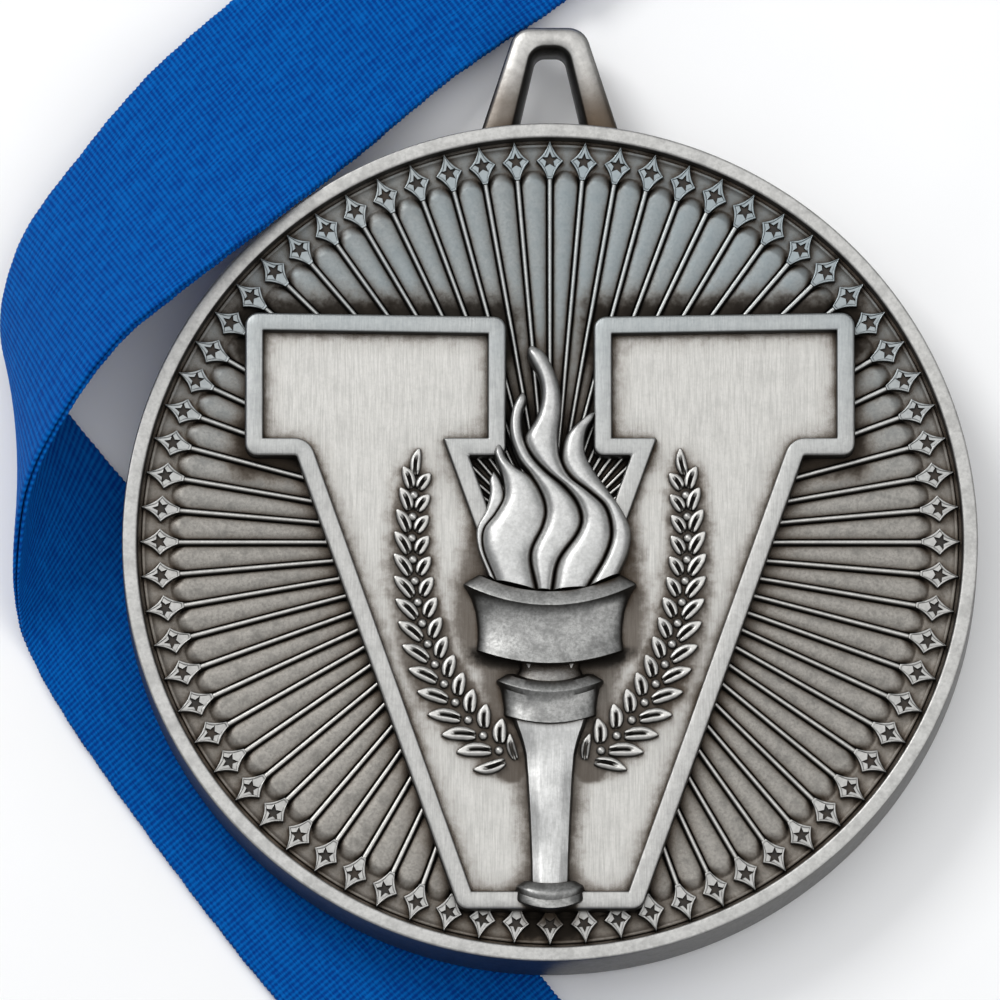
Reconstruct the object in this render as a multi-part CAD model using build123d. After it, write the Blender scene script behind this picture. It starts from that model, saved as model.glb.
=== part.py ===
"""A round award medal lying on its neck ribbon, with the ribbon's snap hook.

The medal is drawn about its own centre, with its back face at z = 0, and the whole part is then
moved so that the origin is the centre of the eye in the hanging loop. All sizes are in millimetres.
"""
import os
from math import atan2, cos, degrees, pi, radians, sin

from build123d import *

# --- Medal ---
medal_radius = 30.0
rim_width = 1.15
rim_top = 5.4
back_recess = 0.6
field_top = 4.3          # the flat floor that the relief stands on
panel_top = 4.85         # crown of the pillowed panels between the rays
ray_top = 5.05
diamond_top = 5.2
letter_floor_top = 5.3
letter_border_top = 6.0
leaf_top = 5.75
flame_top = 7.1
edge_break = 0.25

# --- Ray field ---
ray_count = 72
ray_width = 0.34
ray_start = 6.0
ray_end = 26.4
panel_start = 9.0
panel_end = 26.1
groove_width = 0.1
diamond_tip = 28.75
diamond_widest = 27.3
diamond_neck = 26.4
diamond_half_width = 0.92
star_radius = 0.56
star_centre = 27.35
star_depth = 0.3
star_waist = 0.4         # the star's inner points, as a share of its outer ones
smallest_scrap = 0.2     # cut-off ends of rays and panels below this volume are left out

# --- V panel ---
v_top = 16.3
v_half_width = 21.4
v_serif_bottom = 6.0
v_serif_inner = 3.06
v_leg_outer = 17.8
v_leg_inner = 5.65
v_foot_half = 6.4
v_bottom = -26.4
v_apex = -9.8
v_border = 1.35
v_corner = 0.9
v_inner_drop = 0.3       # the inner top corners sit a little lower than the outer ones

# --- Hanging loop ---
loop_back = 1.2
loop_thickness = 3.0
loop_base_half = 4.85
loop_top_half = 2.6
loop_top = 37.15
loop_base_y = 28.5
loop_corner = 1.3
eye_base_half = 2.35
eye_top_half = 1.35
eye_top = 35.4
eye_base_y = 28.0
eye_corner = 1.3
eye_chamfer = 0.5
eye_centre_y = 32.7
eye_centre_z = loop_back + loop_thickness / 2

# --- Torch: outlines in half widths and heights along the shaft ---
torch_top = 7.3
bowl_half = 6.03
bowl_rim_y = -3.05
bowl_base_half = 4.95
bowl_base_y = -8.6
bowl_rim_bow = 1.2       # how far the round front dips below the corners
bowl_base_bow = 1.0
bowl_swell = 0.1
bowl_swell_drop = 2.5
neck_half = 2.24
neck_overlap = 0.4
neck_top = 6.6
collar_top_y = -9.7
collar_half = 3.67
collar_base_half = 3.25
collar_base_y = -12.7
collar_base_bow = 0.7
collar_top = 7.0
shaft_top_half = 2.6
shaft_top = 6.5
shaft_waist_half = 1.81
shaft_waist_y = -14.9
shaft_foot_half = 1.25
foot_top_y = -24.7
foot_half = 2.3
foot_base_y = -26.6
foot_base_bow = 0.6
foot_top = 7.2

# --- Laurels ---
laurel_stem = [(-9.53, 3.25), (-9.67, 0.0), (-9.2, -4.7), (-7.95, -9.1), (-5.9, -12.6), (-3.57, -15.0)]
laurel_count = 14
leaf_width = 0.56
leaf_gap = 0.12
outer_spread = (25, 47)      # angle from the stem at the tip and at the foot of the spray
outer_length = (2.2, 3.0)
inner_spread = (34, 52)
inner_length = (1.95, 2.25)
berry_radius = 0.25
berry_height = 0.4

# --- Ribbon: edge A is the outer edge at the fold, edge B the inner one; z from the table ---
ribbon_width = 15.4
ribbon_stack = 0.8       # two layers of ribbon, lying on each other
rest_gap = 0.05          # between the ribbon and the medal's back
table_z = -ribbon_stack - rest_gap
edge_a = [(-8.89, 51.59, 2.0), (-15.4, 45.8, 2.2), (-22.4, 39.5, 2.6), (-28.2, 34.0, 3.2),
          (-33.1, 28.0, 3.2), (-36.9, 22.5, 2.8), (-38.4, 16.8, 1.9), (-37.6, 13.5, 1.1),
          (-34.9, 11.2, 0.6), (-30.1, 5.6, 0.4), (-28.4, 3.6, 0.4), (-23.5, -2.4, 0.4),
          (-10.5, -18.0, 0.4), (0.8, -31.7, 0.4)]
edge_b = [(0.79, 39.61, 2.0), (-6.7, 34.1, 3.0), (-13.8, 27.6, 5.4), (-20.0, 22.2, 8.0),
          (-25.9, 17.2, 10.0), (-30.5, 13.0, 11.0), (-34.6, 7.2, 10.6), (-36.6, 3.1, 8.8),
          (-37.4, -1.5, 5.0), (-37.1, -5.2, 1.4), (-36.4, -7.0, 0.5), (-33.6, -12.0, 0.4),
          (-22.0, -28.1, 0.4), (-10.7, -41.6, 0.4)]
fold_start = 5
fold_end = 9

# --- Ribbon ends, in frames that point along the ribbon ---
clip_angle = 38.9
clip_origin = (-4.05, 45.6)
clip_axis_z = 2.0
sewn_thickness = 1.6
sewn_start = 0.12        # the thread's width between the run and the sewn end
stitch_rows = (2.0, 8.6)
stitches_in_row = 9
stitch_pitch = 1.6
stitch_size = (0.3, 1.1, 0.16)
hank_angle = -50.3
hank_origin = (-3.03, -38.96)
hank_length = 38.0
hank_height = 6.4
hank_end_flat = 0.05     # what is left straight between the rounded ends' corners
run_overlap = 3.2
band_width = 4.0
band_thickness = 0.4

# --- Snap hook, along its own axis from the start of the sewn end ---
wire_radius = 0.8
bar_x = 12.2
ring_front_x = 18.2
ring_half = 10.4
ring_corner = 1.0
ring_front_half = 4.6
collar_radius = 2.0
collar_start_x = 17.4
collar_end_x = 20.4
post_radius = 1.0
post_clearance = 0.05
head_radius = 1.7
head_thickness = 1.0
head_gap = 0.2
post_overlap = 0.5
block_x = 20.7
block_length = 4.4
block_width = 7.2
block_thickness = 3.0
block_corner = 1.0
hook_wire_radius = 1.1
hook_root = 1.2          # how far the hook's wire runs into the block
hook_root_inset = 0.1
hook_bend_x = 32.0
hook_bend_radius = 3.6
hook_nose = (-1.8, -0.15)
slot_wall = 0.9          # metal left behind the gate's slot
slot_shift = 0.7
slot_clearance = 0.2
gate_hinge = (23.2, 2.3)
gate_tip = (29.8, 3.3)
gate_thickness = 1.6
gate_width = 1.5
gate_corner = 0.5
gate_hub_thickness = 0.6
gate_hub_radius = 1.4
pin_radius = 0.5
pin_clearance = 0.05
spring_wire_radius = 0.12
spring_radius = 0.85
spring_turns = 2
spring_clearance = 0.05
through = 1.0            # how far a cut reaches past the metal that it goes through


def prism(face, bottom, top):
    """A straight block on an outline, from one height to another."""
    return Pos(0, 0, bottom) * extrude(face, top - bottom, dir=(0, 0, 1))


def around(piece, count):
    """Copies of a piece, evenly spaced about the medal's centre, the first at the top."""
    step = 360 / count
    return [Rot(0, 0, 90 + step * i) * piece for i in range(count)]


def mirrored(half):
    """A closed outline from the points of its left half, listed from top to bottom."""
    return half + [(-x, y) for x, y in reversed(half) if x != 0]


def outline(*edges):
    """A face from edges that meet end to end."""
    return make_face(Wire.combine(edges)[0])


# --- Round parts of the medal ---
def make_rim():
    ring = Circle(medal_radius) - Circle(medal_radius - rim_width)
    body = prism(ring, 0, rim_top)
    return chamfer(body.edges().filter_by(GeomType.CIRCLE), edge_break)


def make_blank():
    return prism(Circle(medal_radius - rim_width), back_recess, field_top)


def make_loop():
    body = [(-loop_base_half, loop_base_y), (-loop_top_half, loop_top),
            (loop_top_half, loop_top), (loop_base_half, loop_base_y)]
    eye = [(-eye_base_half, eye_base_y), (-eye_top_half, eye_top),
           (eye_top_half, eye_top), (eye_base_half, eye_base_y)]
    body_face = Polygon(*body, align=None)
    eye_face = Polygon(*eye, align=None)
    body_face = fillet(body_face.vertices().group_by(Axis.Y)[-1], loop_corner)
    eye_face = fillet(eye_face.vertices().group_by(Axis.Y)[-1], eye_corner)
    top = loop_back + loop_thickness
    loop = prism(body_face - eye_face, loop_back, top)
    loop -= prism(Circle(medal_radius), 0, rim_top)
    front = loop.faces().sort_by(Axis.Z)[-1]
    arc_edges = front.edges().filter_by(lambda edge: edge.center().Y > medal_radius + through)
    return chamfer(arc_edges, eye_chamfer)


# --- Ray field ---
def without_scraps(piece):
    """The solids that are worth casting: whole ones and cut ones, but no crumbs."""
    return Part() + [solid for solid in piece.solids() if solid.volume > smallest_scrap]


def make_rays(cutter):
    length = ray_end - ray_start
    middle = Pos(ray_start + length / 2, 0, (field_top + ray_top) / 2)
    ray = middle * Box(length, ray_width, ray_top - field_top)
    return without_scraps(Part() + around(ray, ray_count) - cutter)


def make_panels(cutter):
    """Pillowed panels: wedges between the rays, with rounded outer ends."""
    def half_width(radius):
        return pi * radius / ray_count - ray_width / 2 - groove_width

    shoulder = panel_end - half_width(panel_end)
    wedge = outline(
        Line((panel_start, -half_width(panel_start)), (shoulder, -half_width(shoulder))),
        ThreePointArc((shoulder, -half_width(shoulder)), (panel_end, 0), (shoulder, half_width(shoulder))),
        Line((shoulder, half_width(shoulder)), (panel_start, half_width(panel_start))),
        Line((panel_start, half_width(panel_start)), (panel_start, -half_width(panel_start))),
    )
    panel = Rot(0, 0, 180 / ray_count) * prism(wedge, field_top, panel_top)
    return without_scraps(Part() + around(panel, ray_count) - cutter)


def make_diamonds(cutter):
    kite = Polygon((diamond_tip, 0), (diamond_widest, diamond_half_width), (diamond_neck, ray_width / 2),
                   (diamond_neck, -ray_width / 2), (diamond_widest, -diamond_half_width), align=None)
    points = []
    for i in range(10):
        reach = star_radius if i % 2 == 0 else star_radius * star_waist
        points.append((star_centre + reach * cos(radians(36 * i)), reach * sin(radians(36 * i))))
    star = Polygon(*points, align=None)
    diamond = prism(kite, field_top, diamond_top) - prism(star, diamond_top - star_depth, diamond_top)
    return Part() + around(diamond, ray_count) - cutter


# --- V panel ---
def v_outline():
    half = [(0, v_apex), (-v_leg_inner, v_serif_bottom), (-v_serif_inner, v_serif_bottom),
            (-v_serif_inner, v_top - v_inner_drop), (-v_half_width, v_top),
            (-v_half_width, v_serif_bottom), (-v_leg_outer, v_serif_bottom), (-v_foot_half, v_bottom)]
    face = Polygon(*mirrored(half), align=None)
    corners = [vertex for vertex in face.vertices()
               if abs(vertex.X) > v_half_width - 1 or vertex.Y < v_bottom + 1
               or (abs(vertex.X) < v_serif_inner + 1 and vertex.Y > 0)]
    return fillet(corners, v_corner)


def make_v():
    """The letter's floor and its raised border, open where the torch and the flame stand."""
    outer = v_outline()
    inner = offset(outer, -v_border, kind=Kind.INTERSECTION)
    standing = list(torch_outlines().values()) + flame_outlines()
    floor = inner
    border = outer - inner
    for face in standing:
        floor -= face
        border -= face
    return prism(floor, field_top, letter_floor_top), prism(border, field_top, letter_border_top)


# --- Flame: five tongues that share their grooves ---
def flame_outlines():
    groove_12 = Spline((-3.36, 3.9), (-3.22, 2.97), (-3.85, 1.75),
                       (-4.63, 0.68), (-4.7, -0.61), (-3.85, -2.9))
    groove_23 = Spline((-1.33, 4.47), (-0.49, 2.97), (-0.28, 1.9),
                       (-0.49, 0.89), (-1.33, -1.11), (-0.91, -3.54))
    groove_34 = Spline((-1.93, 7.19), (-1.33, 5.98), (0.98, 3.69),
                       (2.24, 1.32), (1.23, -0.75), (0.14, -3.54))
    groove_45 = Spline((0.63, 5.69), (1.47, 4.33), (3.92, 2.18),
                       (4.34, 0.3), (3.92, -1.25), (2.66, -3.33))
    tongue_1 = outline(
        Spline((-4.34, -2.4), (-5.05, -0.61), (-5.12, 0.75), (-4.48, 2.11), (-3.85, 4.76)),
        Line((-3.85, 4.76), (-3.36, 3.9)), groove_12, Line((-3.85, -2.9), (-4.34, -2.4)))
    tongue_2 = outline(
        Line((-3.36, 3.9), (-3.57, 6.76)),
        Spline((-3.57, 6.76), (-3.29, 5.9), (-2.35, 5.05), (-1.33, 4.47)),
        groove_23, Line((-0.91, -3.54), (-3.85, -2.9)), groove_12)
    tongue_3 = outline(
        Spline((-1.33, 4.47), (-2.1, 5.85), (-2.8, 8.41), (-2.52, 9.56), (-1.86, 10.49)),
        Spline((-1.86, 10.49), (-2.1, 8.98), (-2.1, 7.91), (-1.93, 7.19)),
        groove_34, Line((0.14, -3.54), (-0.91, -3.54)), groove_23)
    tongue_4 = outline(
        Spline((-1.93, 7.19), (-0.77, 8.7), (-0.56, 10.06), (-0.77, 11.49), (-1.54, 13.71)),
        Spline((-1.54, 13.71), (-0.28, 12.56), (0.56, 10.06), (0.35, 7.34), (0.63, 5.69)),
        groove_45, Line((2.66, -3.33), (0.14, -3.54)), groove_34)
    tongue_5 = outline(
        Spline((0.63, 5.69), (1.23, 7.48), (2.03, 8.55), (3.08, 9.05)),
        Spline((3.08, 9.05), (2.45, 7.05), (3.5, 4.33), (5.61, 0.54), (4.84, -2.26)),
        Line((4.84, -2.26), (2.66, -3.33)), groove_45)
    return [tongue_1, tongue_2, tongue_3, tongue_4, tongue_5]


# --- Torch ---
def torch_outlines():
    bowl_side_y = bowl_base_y + bowl_base_bow
    swell = (bowl_base_half + bowl_swell, bowl_rim_y - bowl_swell_drop)
    bowl = outline(
        Spline((-bowl_half, bowl_rim_y), (0, bowl_rim_y - bowl_rim_bow), (bowl_half, bowl_rim_y)),
        Spline((bowl_half, bowl_rim_y), swell, (bowl_base_half, bowl_side_y)),
        ThreePointArc((bowl_base_half, bowl_side_y), (0, bowl_base_y), (-bowl_base_half, bowl_side_y)),
        Spline((-bowl_base_half, bowl_side_y), (-swell[0], swell[1]), (-bowl_half, bowl_rim_y)))
    neck_base_y = collar_top_y - neck_overlap
    neck = Polygon((-neck_half, bowl_side_y), (neck_half, bowl_side_y),
                   (neck_half, neck_base_y), (-neck_half, neck_base_y), align=None)
    collar_side_y = collar_base_y + collar_base_bow
    collar = outline(
        Line((-collar_half, collar_top_y), (collar_half, collar_top_y)),
        Line((collar_half, collar_top_y), (collar_base_half, collar_side_y)),
        ThreePointArc((collar_base_half, collar_side_y), (0, collar_base_y),
                      (-collar_base_half, collar_side_y)),
        Line((-collar_base_half, collar_side_y), (-collar_half, collar_top_y)))
    waist = (shaft_waist_half, shaft_waist_y)
    shaft = outline(
        Line((-shaft_top_half, collar_side_y), (shaft_top_half, collar_side_y)),
        Spline((shaft_top_half, collar_side_y), waist, (shaft_foot_half, foot_top_y)),
        Line((shaft_foot_half, foot_top_y), (-shaft_foot_half, foot_top_y)),
        Spline((-shaft_foot_half, foot_top_y), (-waist[0], waist[1]), (-shaft_top_half, collar_side_y)))
    foot_side_y = foot_base_y + foot_base_bow
    foot = outline(
        Line((-foot_half, foot_top_y), (foot_half, foot_top_y)),
        Line((foot_half, foot_top_y), (foot_half, foot_side_y)),
        ThreePointArc((foot_half, foot_side_y), (0, foot_base_y), (-foot_half, foot_side_y)),
        Line((-foot_half, foot_side_y), (-foot_half, foot_top_y)))
    return {"torch_bowl": bowl, "torch_neck": neck - bowl - collar, "torch_collar": collar,
            "torch_shaft": shaft - collar, "torch_foot": foot}


torch_heights = {"torch_bowl": torch_top, "torch_neck": neck_top, "torch_collar": collar_top,
                 "torch_shaft": shaft_top, "torch_foot": foot_top}


# --- Laurels ---
def leaf_shape(start, angle, length):
    """A pointed leaf of two arcs, from its base along an angle in degrees."""
    lens = outline(
        ThreePointArc((0, 0), (length / 2, leaf_width / 2), (length, 0)),
        ThreePointArc((length, 0), (length / 2, -leaf_width / 2), (0, 0)))
    return Pos(start.X, start.Y) * Rot(0, 0, angle) * prism(lens, letter_floor_top, leaf_top)


def between(ends, share):
    """A value part of the way from the first to the last of two."""
    return ends[0] + (ends[1] - ends[0]) * share


def make_laurel(relief):
    """One spray: at every station along the stem a berry, an outer leaf and an inner leaf."""
    stem = Spline(*laurel_stem)
    leaves, berries = [], []
    for i in range(laurel_count):
        share = i / (laurel_count - 1)
        point = stem @ share
        up = (stem % share) * -1
        heading = degrees(atan2(up.Y, up.X))
        middle = letter_floor_top + berry_height / 2
        berries.append(Pos(point.X, point.Y, middle) * Cylinder(berry_radius, berry_height))
        for side, spread, reach in ((1, outer_spread, outer_length), (-1, inner_spread, inner_length)):
            angle = heading + side * between(spread, share)
            away = Vector(cos(radians(angle)), sin(radians(angle)))
            clear = berry_radius + leaf_gap
            leaves.append(leaf_shape(point + away * clear, angle, between(reach, share) - clear))
    return Part() + leaves - relief, Part() + berries - relief


# --- Ribbon ---
def ribbon_section(a, b, ahead):
    """The ribbon's cross-section between its two edges, square to the way it runs."""
    across = (b - a).normalized()
    normal = across.cross(ahead).normalized() * (ribbon_stack / 2)
    return make_face(Polyline(a + normal, b + normal, b - normal, a - normal, close=True))


def ribbon_sections():
    a_points = [Vector(*point) for point in edge_a]
    b_points = [Vector(*point) for point in edge_b]
    middles = [(a + b) * 0.5 for a, b in zip(a_points, b_points)]
    last = len(middles) - 1
    return [ribbon_section(a_points[i], b_points[i], middles[min(i + 1, last)] - middles[max(i - 1, 0)])
            for i in range(last + 1)]


def make_ribbon():
    sections = ribbon_sections()
    table = Pos(0, 0, table_z)
    upper = table * loft(sections[:fold_start + 1], ruled=True)
    fold = table * loft(sections[fold_start:fold_end + 1], ruled=True)
    lower = table * loft(sections[fold_end:], ruled=True)
    return upper, fold, lower


def hank_frame():
    return Pos(hank_origin[0], hank_origin[1], table_z) * Rot(0, 0, hank_angle)


def make_hank():
    """The rest of the ribbon, folded to and fro into a flat bundle, with a band round it."""
    under_length = hank_length - hank_height / 2 + run_overlap
    under = Pos(under_length / 2 - run_overlap, 0, ribbon_stack / 2)
    under *= Box(under_length, ribbon_width, ribbon_stack)
    bundle = Pos(hank_length / 2, 0, ribbon_stack + hank_height / 2)
    bundle *= Box(hank_length, ribbon_width, hank_height)
    bundle = fillet(bundle.edges().filter_by(Axis.Y), hank_height / 2 - hank_end_flat)
    top = ribbon_stack + hank_height
    band_middle = Pos(hank_length / 2, 0, (top + band_thickness) / 2)
    band = band_middle * Box(band_width, ribbon_width + 2 * band_thickness, top + band_thickness)
    band -= band_middle * Box(band_width, ribbon_width, top - band_thickness)
    return hank_frame() * (bundle - band), hank_frame() * band, hank_frame() * (under - band)


# --- Sewn end and snap hook ---
def clip_frame():
    return Pos(clip_origin[0], clip_origin[1], table_z) * Rot(0, 0, clip_angle)


def along_axis(radius, start, end):
    """A round bar on the hook's own axis."""
    return Pos((start + end) / 2, 0, clip_axis_z) * Rot(0, 90, 0) * Cylinder(radius, end - start)


def make_sewn_end():
    """The two ribbon ends, turned round the ring's bar and sewn down."""
    flat = Pos((bar_x + sewn_start) / 2, 0, clip_axis_z)
    flat *= Box(bar_x - sewn_start, ribbon_width, sewn_thickness)
    across = Pos(bar_x, 0, clip_axis_z) * Rot(90, 0, 0)
    turn = across * Cylinder(wire_radius + ribbon_stack, ribbon_width)
    bar = across * Cylinder(wire_radius, ribbon_width + through)
    return clip_frame() * (flat + turn - bar)


def make_stitches():
    """Two cross rows of short stitches on top of the sewn end."""
    stitches = []
    middle = clip_axis_z + sewn_thickness / 2 + stitch_size[2] / 2
    for row_x in stitch_rows:
        for i in range(stitches_in_row):
            y = stitch_pitch * (i - (stitches_in_row - 1) / 2)
            stitches.append(Pos(row_x, y, middle) * Box(*stitch_size))
    return clip_frame() * (Part() + stitches)


def make_ring():
    corners = [(bar_x, -ring_half), (bar_x, ring_half),
               (ring_front_x, ring_front_half), (ring_front_x, -ring_front_half)]
    path = fillet(Polygon(*corners, align=None).vertices(), ring_corner).wire()
    path = Pos(0, 0, clip_axis_z) * path
    wire = sweep(Plane(origin=path @ 0, z_dir=path % 0) * Circle(wire_radius), path=path)
    ring = wire + along_axis(collar_radius, collar_start_x, collar_end_x)
    bore = along_axis(post_radius + post_clearance, collar_start_x - through, collar_end_x + through)
    return clip_frame() * (ring - bore)


def make_post():
    head_x = collar_start_x - head_gap
    post = along_axis(post_radius, head_x - post_overlap, block_x)
    return clip_frame() * (post + along_axis(head_radius, head_x - head_thickness, head_x))


def make_hook():
    half = block_width / 2
    block = Pos(block_x + block_length / 2, 0, clip_axis_z) * Box(block_length, block_width, block_thickness)
    block = fillet(block.edges().filter_by(Axis.Z), block_corner)
    start = (block_x + block_length - hook_root, -half + hook_wire_radius + hook_root_inset)
    path = Line(start, (hook_bend_x, -hook_bend_radius))
    path += CenterArc((hook_bend_x, 0), hook_bend_radius, -90, 180)
    nose = (hook_bend_x + hook_nose[0], hook_bend_radius + hook_nose[1])
    path += Line((hook_bend_x, hook_bend_radius), nose)
    path = Pos(0, 0, clip_axis_z) * Wire(path.edges())
    bend = sweep(Plane(origin=path @ 0, z_dir=path % 0) * Circle(hook_wire_radius), path=path)
    hook = block + bend
    slot = Pos(block_x + slot_wall + block_length / 2, slot_shift + half / 2, clip_axis_z)
    hook -= slot * Box(block_length, half, gate_thickness + slot_clearance)
    hook -= Pos(*gate_hinge, clip_axis_z) * Cylinder(pin_radius, block_thickness + through)
    return clip_frame() * hook


def make_gate():
    hub_bottom = clip_axis_z - gate_thickness / 2
    hub_top = hub_bottom + gate_hub_thickness
    reach = Vector(*gate_tip) - Vector(*gate_hinge)
    angle = degrees(atan2(reach.Y, reach.X))
    lever = Pos(reach.length / 2, 0, clip_axis_z) * Box(reach.length, gate_width, gate_thickness)
    lever = fillet(lever.edges().filter_by(Axis.Z).group_by(Axis.X)[-1], gate_corner)
    clear = Pos(0, 0, hub_top + gate_thickness / 2) * Cylinder(gate_hub_radius, gate_thickness)
    hub = Pos(0, 0, (hub_bottom + hub_top) / 2) * Cylinder(gate_hub_radius, gate_hub_thickness)
    bore = Pos(0, 0, clip_axis_z) * Cylinder(pin_radius + pin_clearance, 2 * gate_thickness)
    gate = Rot(0, 0, angle) * (lever - clear + hub) - bore
    return clip_frame() * Pos(*gate_hinge, 0) * gate


def make_gate_pin():
    return clip_frame() * Pos(*gate_hinge, clip_axis_z) * Cylinder(pin_radius, block_thickness)


def make_gate_spring():
    """A short coil round the gate's pin, above its hub."""
    room = gate_thickness - gate_hub_thickness - 2 * (spring_wire_radius + spring_clearance)
    bottom = clip_axis_z + gate_thickness / 2 - spring_wire_radius - spring_clearance - room
    path = Helix(room / spring_turns, room, spring_radius)
    start = Plane(origin=path @ 0, z_dir=path % 0)
    coil = sweep(start * Circle(spring_wire_radius), path=path, is_frenet=True)
    return clip_frame() * Pos(*gate_hinge, bottom) * coil


# --- Assembly ---
def make_parts():
    parts = {}
    torch = {name: prism(face, field_top, torch_heights[name]) for name, face in torch_outlines().items()}
    tongues = [prism(face, field_top, flame_top) - torch["torch_bowl"] for face in flame_outlines()]
    relief = Part() + list(torch.values()) + tongues
    v_block = prism(v_outline(), field_top, torch_top)
    raised = v_block + relief

    parts["rim"] = make_rim()
    parts["blank"] = make_blank()
    parts["hanging_loop"] = make_loop()
    parts["rays"] = make_rays(raised)
    parts["ray_panels"] = make_panels(raised)
    parts["diamond_border"] = make_diamonds(raised)
    parts["v_panel"], parts["v_border"] = make_v()
    for number, tongue in enumerate(tongues, start=1):
        parts[f"flame_tongue_{number}"] = tongue
    parts.update(torch)
    leaves, berries = make_laurel(relief)
    parts["laurel_leaves_left"] = leaves
    parts["laurel_berries_left"] = berries
    parts["laurel_leaves_right"] = mirror(leaves, Plane.YZ)
    parts["laurel_berries_right"] = mirror(berries, Plane.YZ)

    parts["ribbon_upper_run"], parts["ribbon_fold"], lower = make_ribbon()
    parts["ribbon_hank"], parts["hank_band"], under = make_hank()
    parts["ribbon_lower_run"] = lower + under
    parts["ribbon_sewn_end"] = make_sewn_end()
    parts["end_stitches"] = make_stitches()
    parts["clip_ring"] = make_ring()
    parts["swivel_post"] = make_post()
    parts["hook_body"] = make_hook()
    parts["hook_gate"] = make_gate()
    parts["gate_pin"] = make_gate_pin()
    parts["gate_spring"] = make_gate_spring()
    return parts


def main():
    os.makedirs("parts", exist_ok=True)
    to_eye = Pos(0, -eye_centre_y, -eye_centre_z)
    for name, piece in make_parts().items():
        placed = to_eye * piece
        solids = placed.solids()
        shape = solids[0] if len(solids) == 1 else Compound(children=list(solids))
        export_step(shape, f"parts/{name}.step")


main()
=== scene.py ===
"""Looks of the award medal and its neck ribbon: relief, patina, woven ribbon and snap hook."""
import math

import bpy
import numpy as np
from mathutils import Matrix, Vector


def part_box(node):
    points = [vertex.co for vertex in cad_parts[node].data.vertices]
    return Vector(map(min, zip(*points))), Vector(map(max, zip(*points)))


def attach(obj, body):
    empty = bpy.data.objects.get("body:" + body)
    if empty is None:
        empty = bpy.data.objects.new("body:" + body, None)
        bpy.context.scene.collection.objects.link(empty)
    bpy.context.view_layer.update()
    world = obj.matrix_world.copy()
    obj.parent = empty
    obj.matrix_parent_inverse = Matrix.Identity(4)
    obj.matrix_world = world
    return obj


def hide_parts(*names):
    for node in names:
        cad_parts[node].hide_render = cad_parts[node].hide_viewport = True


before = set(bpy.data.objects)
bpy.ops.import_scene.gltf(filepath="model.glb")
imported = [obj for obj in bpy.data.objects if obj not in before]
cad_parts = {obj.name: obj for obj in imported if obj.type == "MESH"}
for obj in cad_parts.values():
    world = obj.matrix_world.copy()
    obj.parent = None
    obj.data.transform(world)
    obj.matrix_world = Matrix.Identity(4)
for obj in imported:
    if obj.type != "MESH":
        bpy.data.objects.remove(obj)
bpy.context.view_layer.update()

# ------------------------------------------------------------------ places, in millimetres
MM = 0.001
rim_low, rim_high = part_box("rim")
CENTRE = ((rim_low + rim_high) / 2).to_2d()
BACK = rim_low.z
TABLE_Z = min(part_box(node)[0].z for node in ("ribbon_lower_run", "hank_band"))
TABLE = (TABLE_Z - BACK) / MM

RADIUS = (rim_high.x - rim_low.x) / 2 / MM
RIM_TOP = (rim_high.z - rim_low.z) / MM
RIM_WIDTH = 1.15
FIELD = (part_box("blank")[1].z - BACK) / MM  # the blank's face, which the relief stands on
ROOT = FIELD - 0.1                          # where most raised pieces start, just inside the blank
TORCH_ROOT = FIELD - 0.12
BAND = FIELD + 0.32                         # the plain ring under the diamonds
V_TOP, V_FLOOR = FIELD + 1.7, FIELD + 1.05
RAY_HALF = 0.175
RAYS = 72
RIB_PITCH, WARP_PITCH = 0.39, 0.34          # the ribbon's cross ribs and lengthwise threads


def placed(points):
    """Millimetres about the medal's centre and back, as metres in the row frame."""
    points = np.asarray(points, float).reshape(-1, 3) * MM
    return points + np.array([CENTRE.x, CENTRE.y, BACK])


# ------------------------------------------------------------------ mesh helpers
def grid_faces(rows, columns, start=0, wrap_rows=False, wrap_columns=False):
    """Quads over a grid of points stored row by row."""
    faces = []
    for i in range(rows if wrap_rows else rows - 1):
        for j in range(columns if wrap_columns else columns - 1):
            a = start + i * columns + j
            b = start + i * columns + (j + 1) % columns
            c = start + ((i + 1) % rows) * columns + (j + 1) % columns
            d = start + ((i + 1) % rows) * columns + j
            faces.append((a, b, c, d))
    return faces


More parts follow.
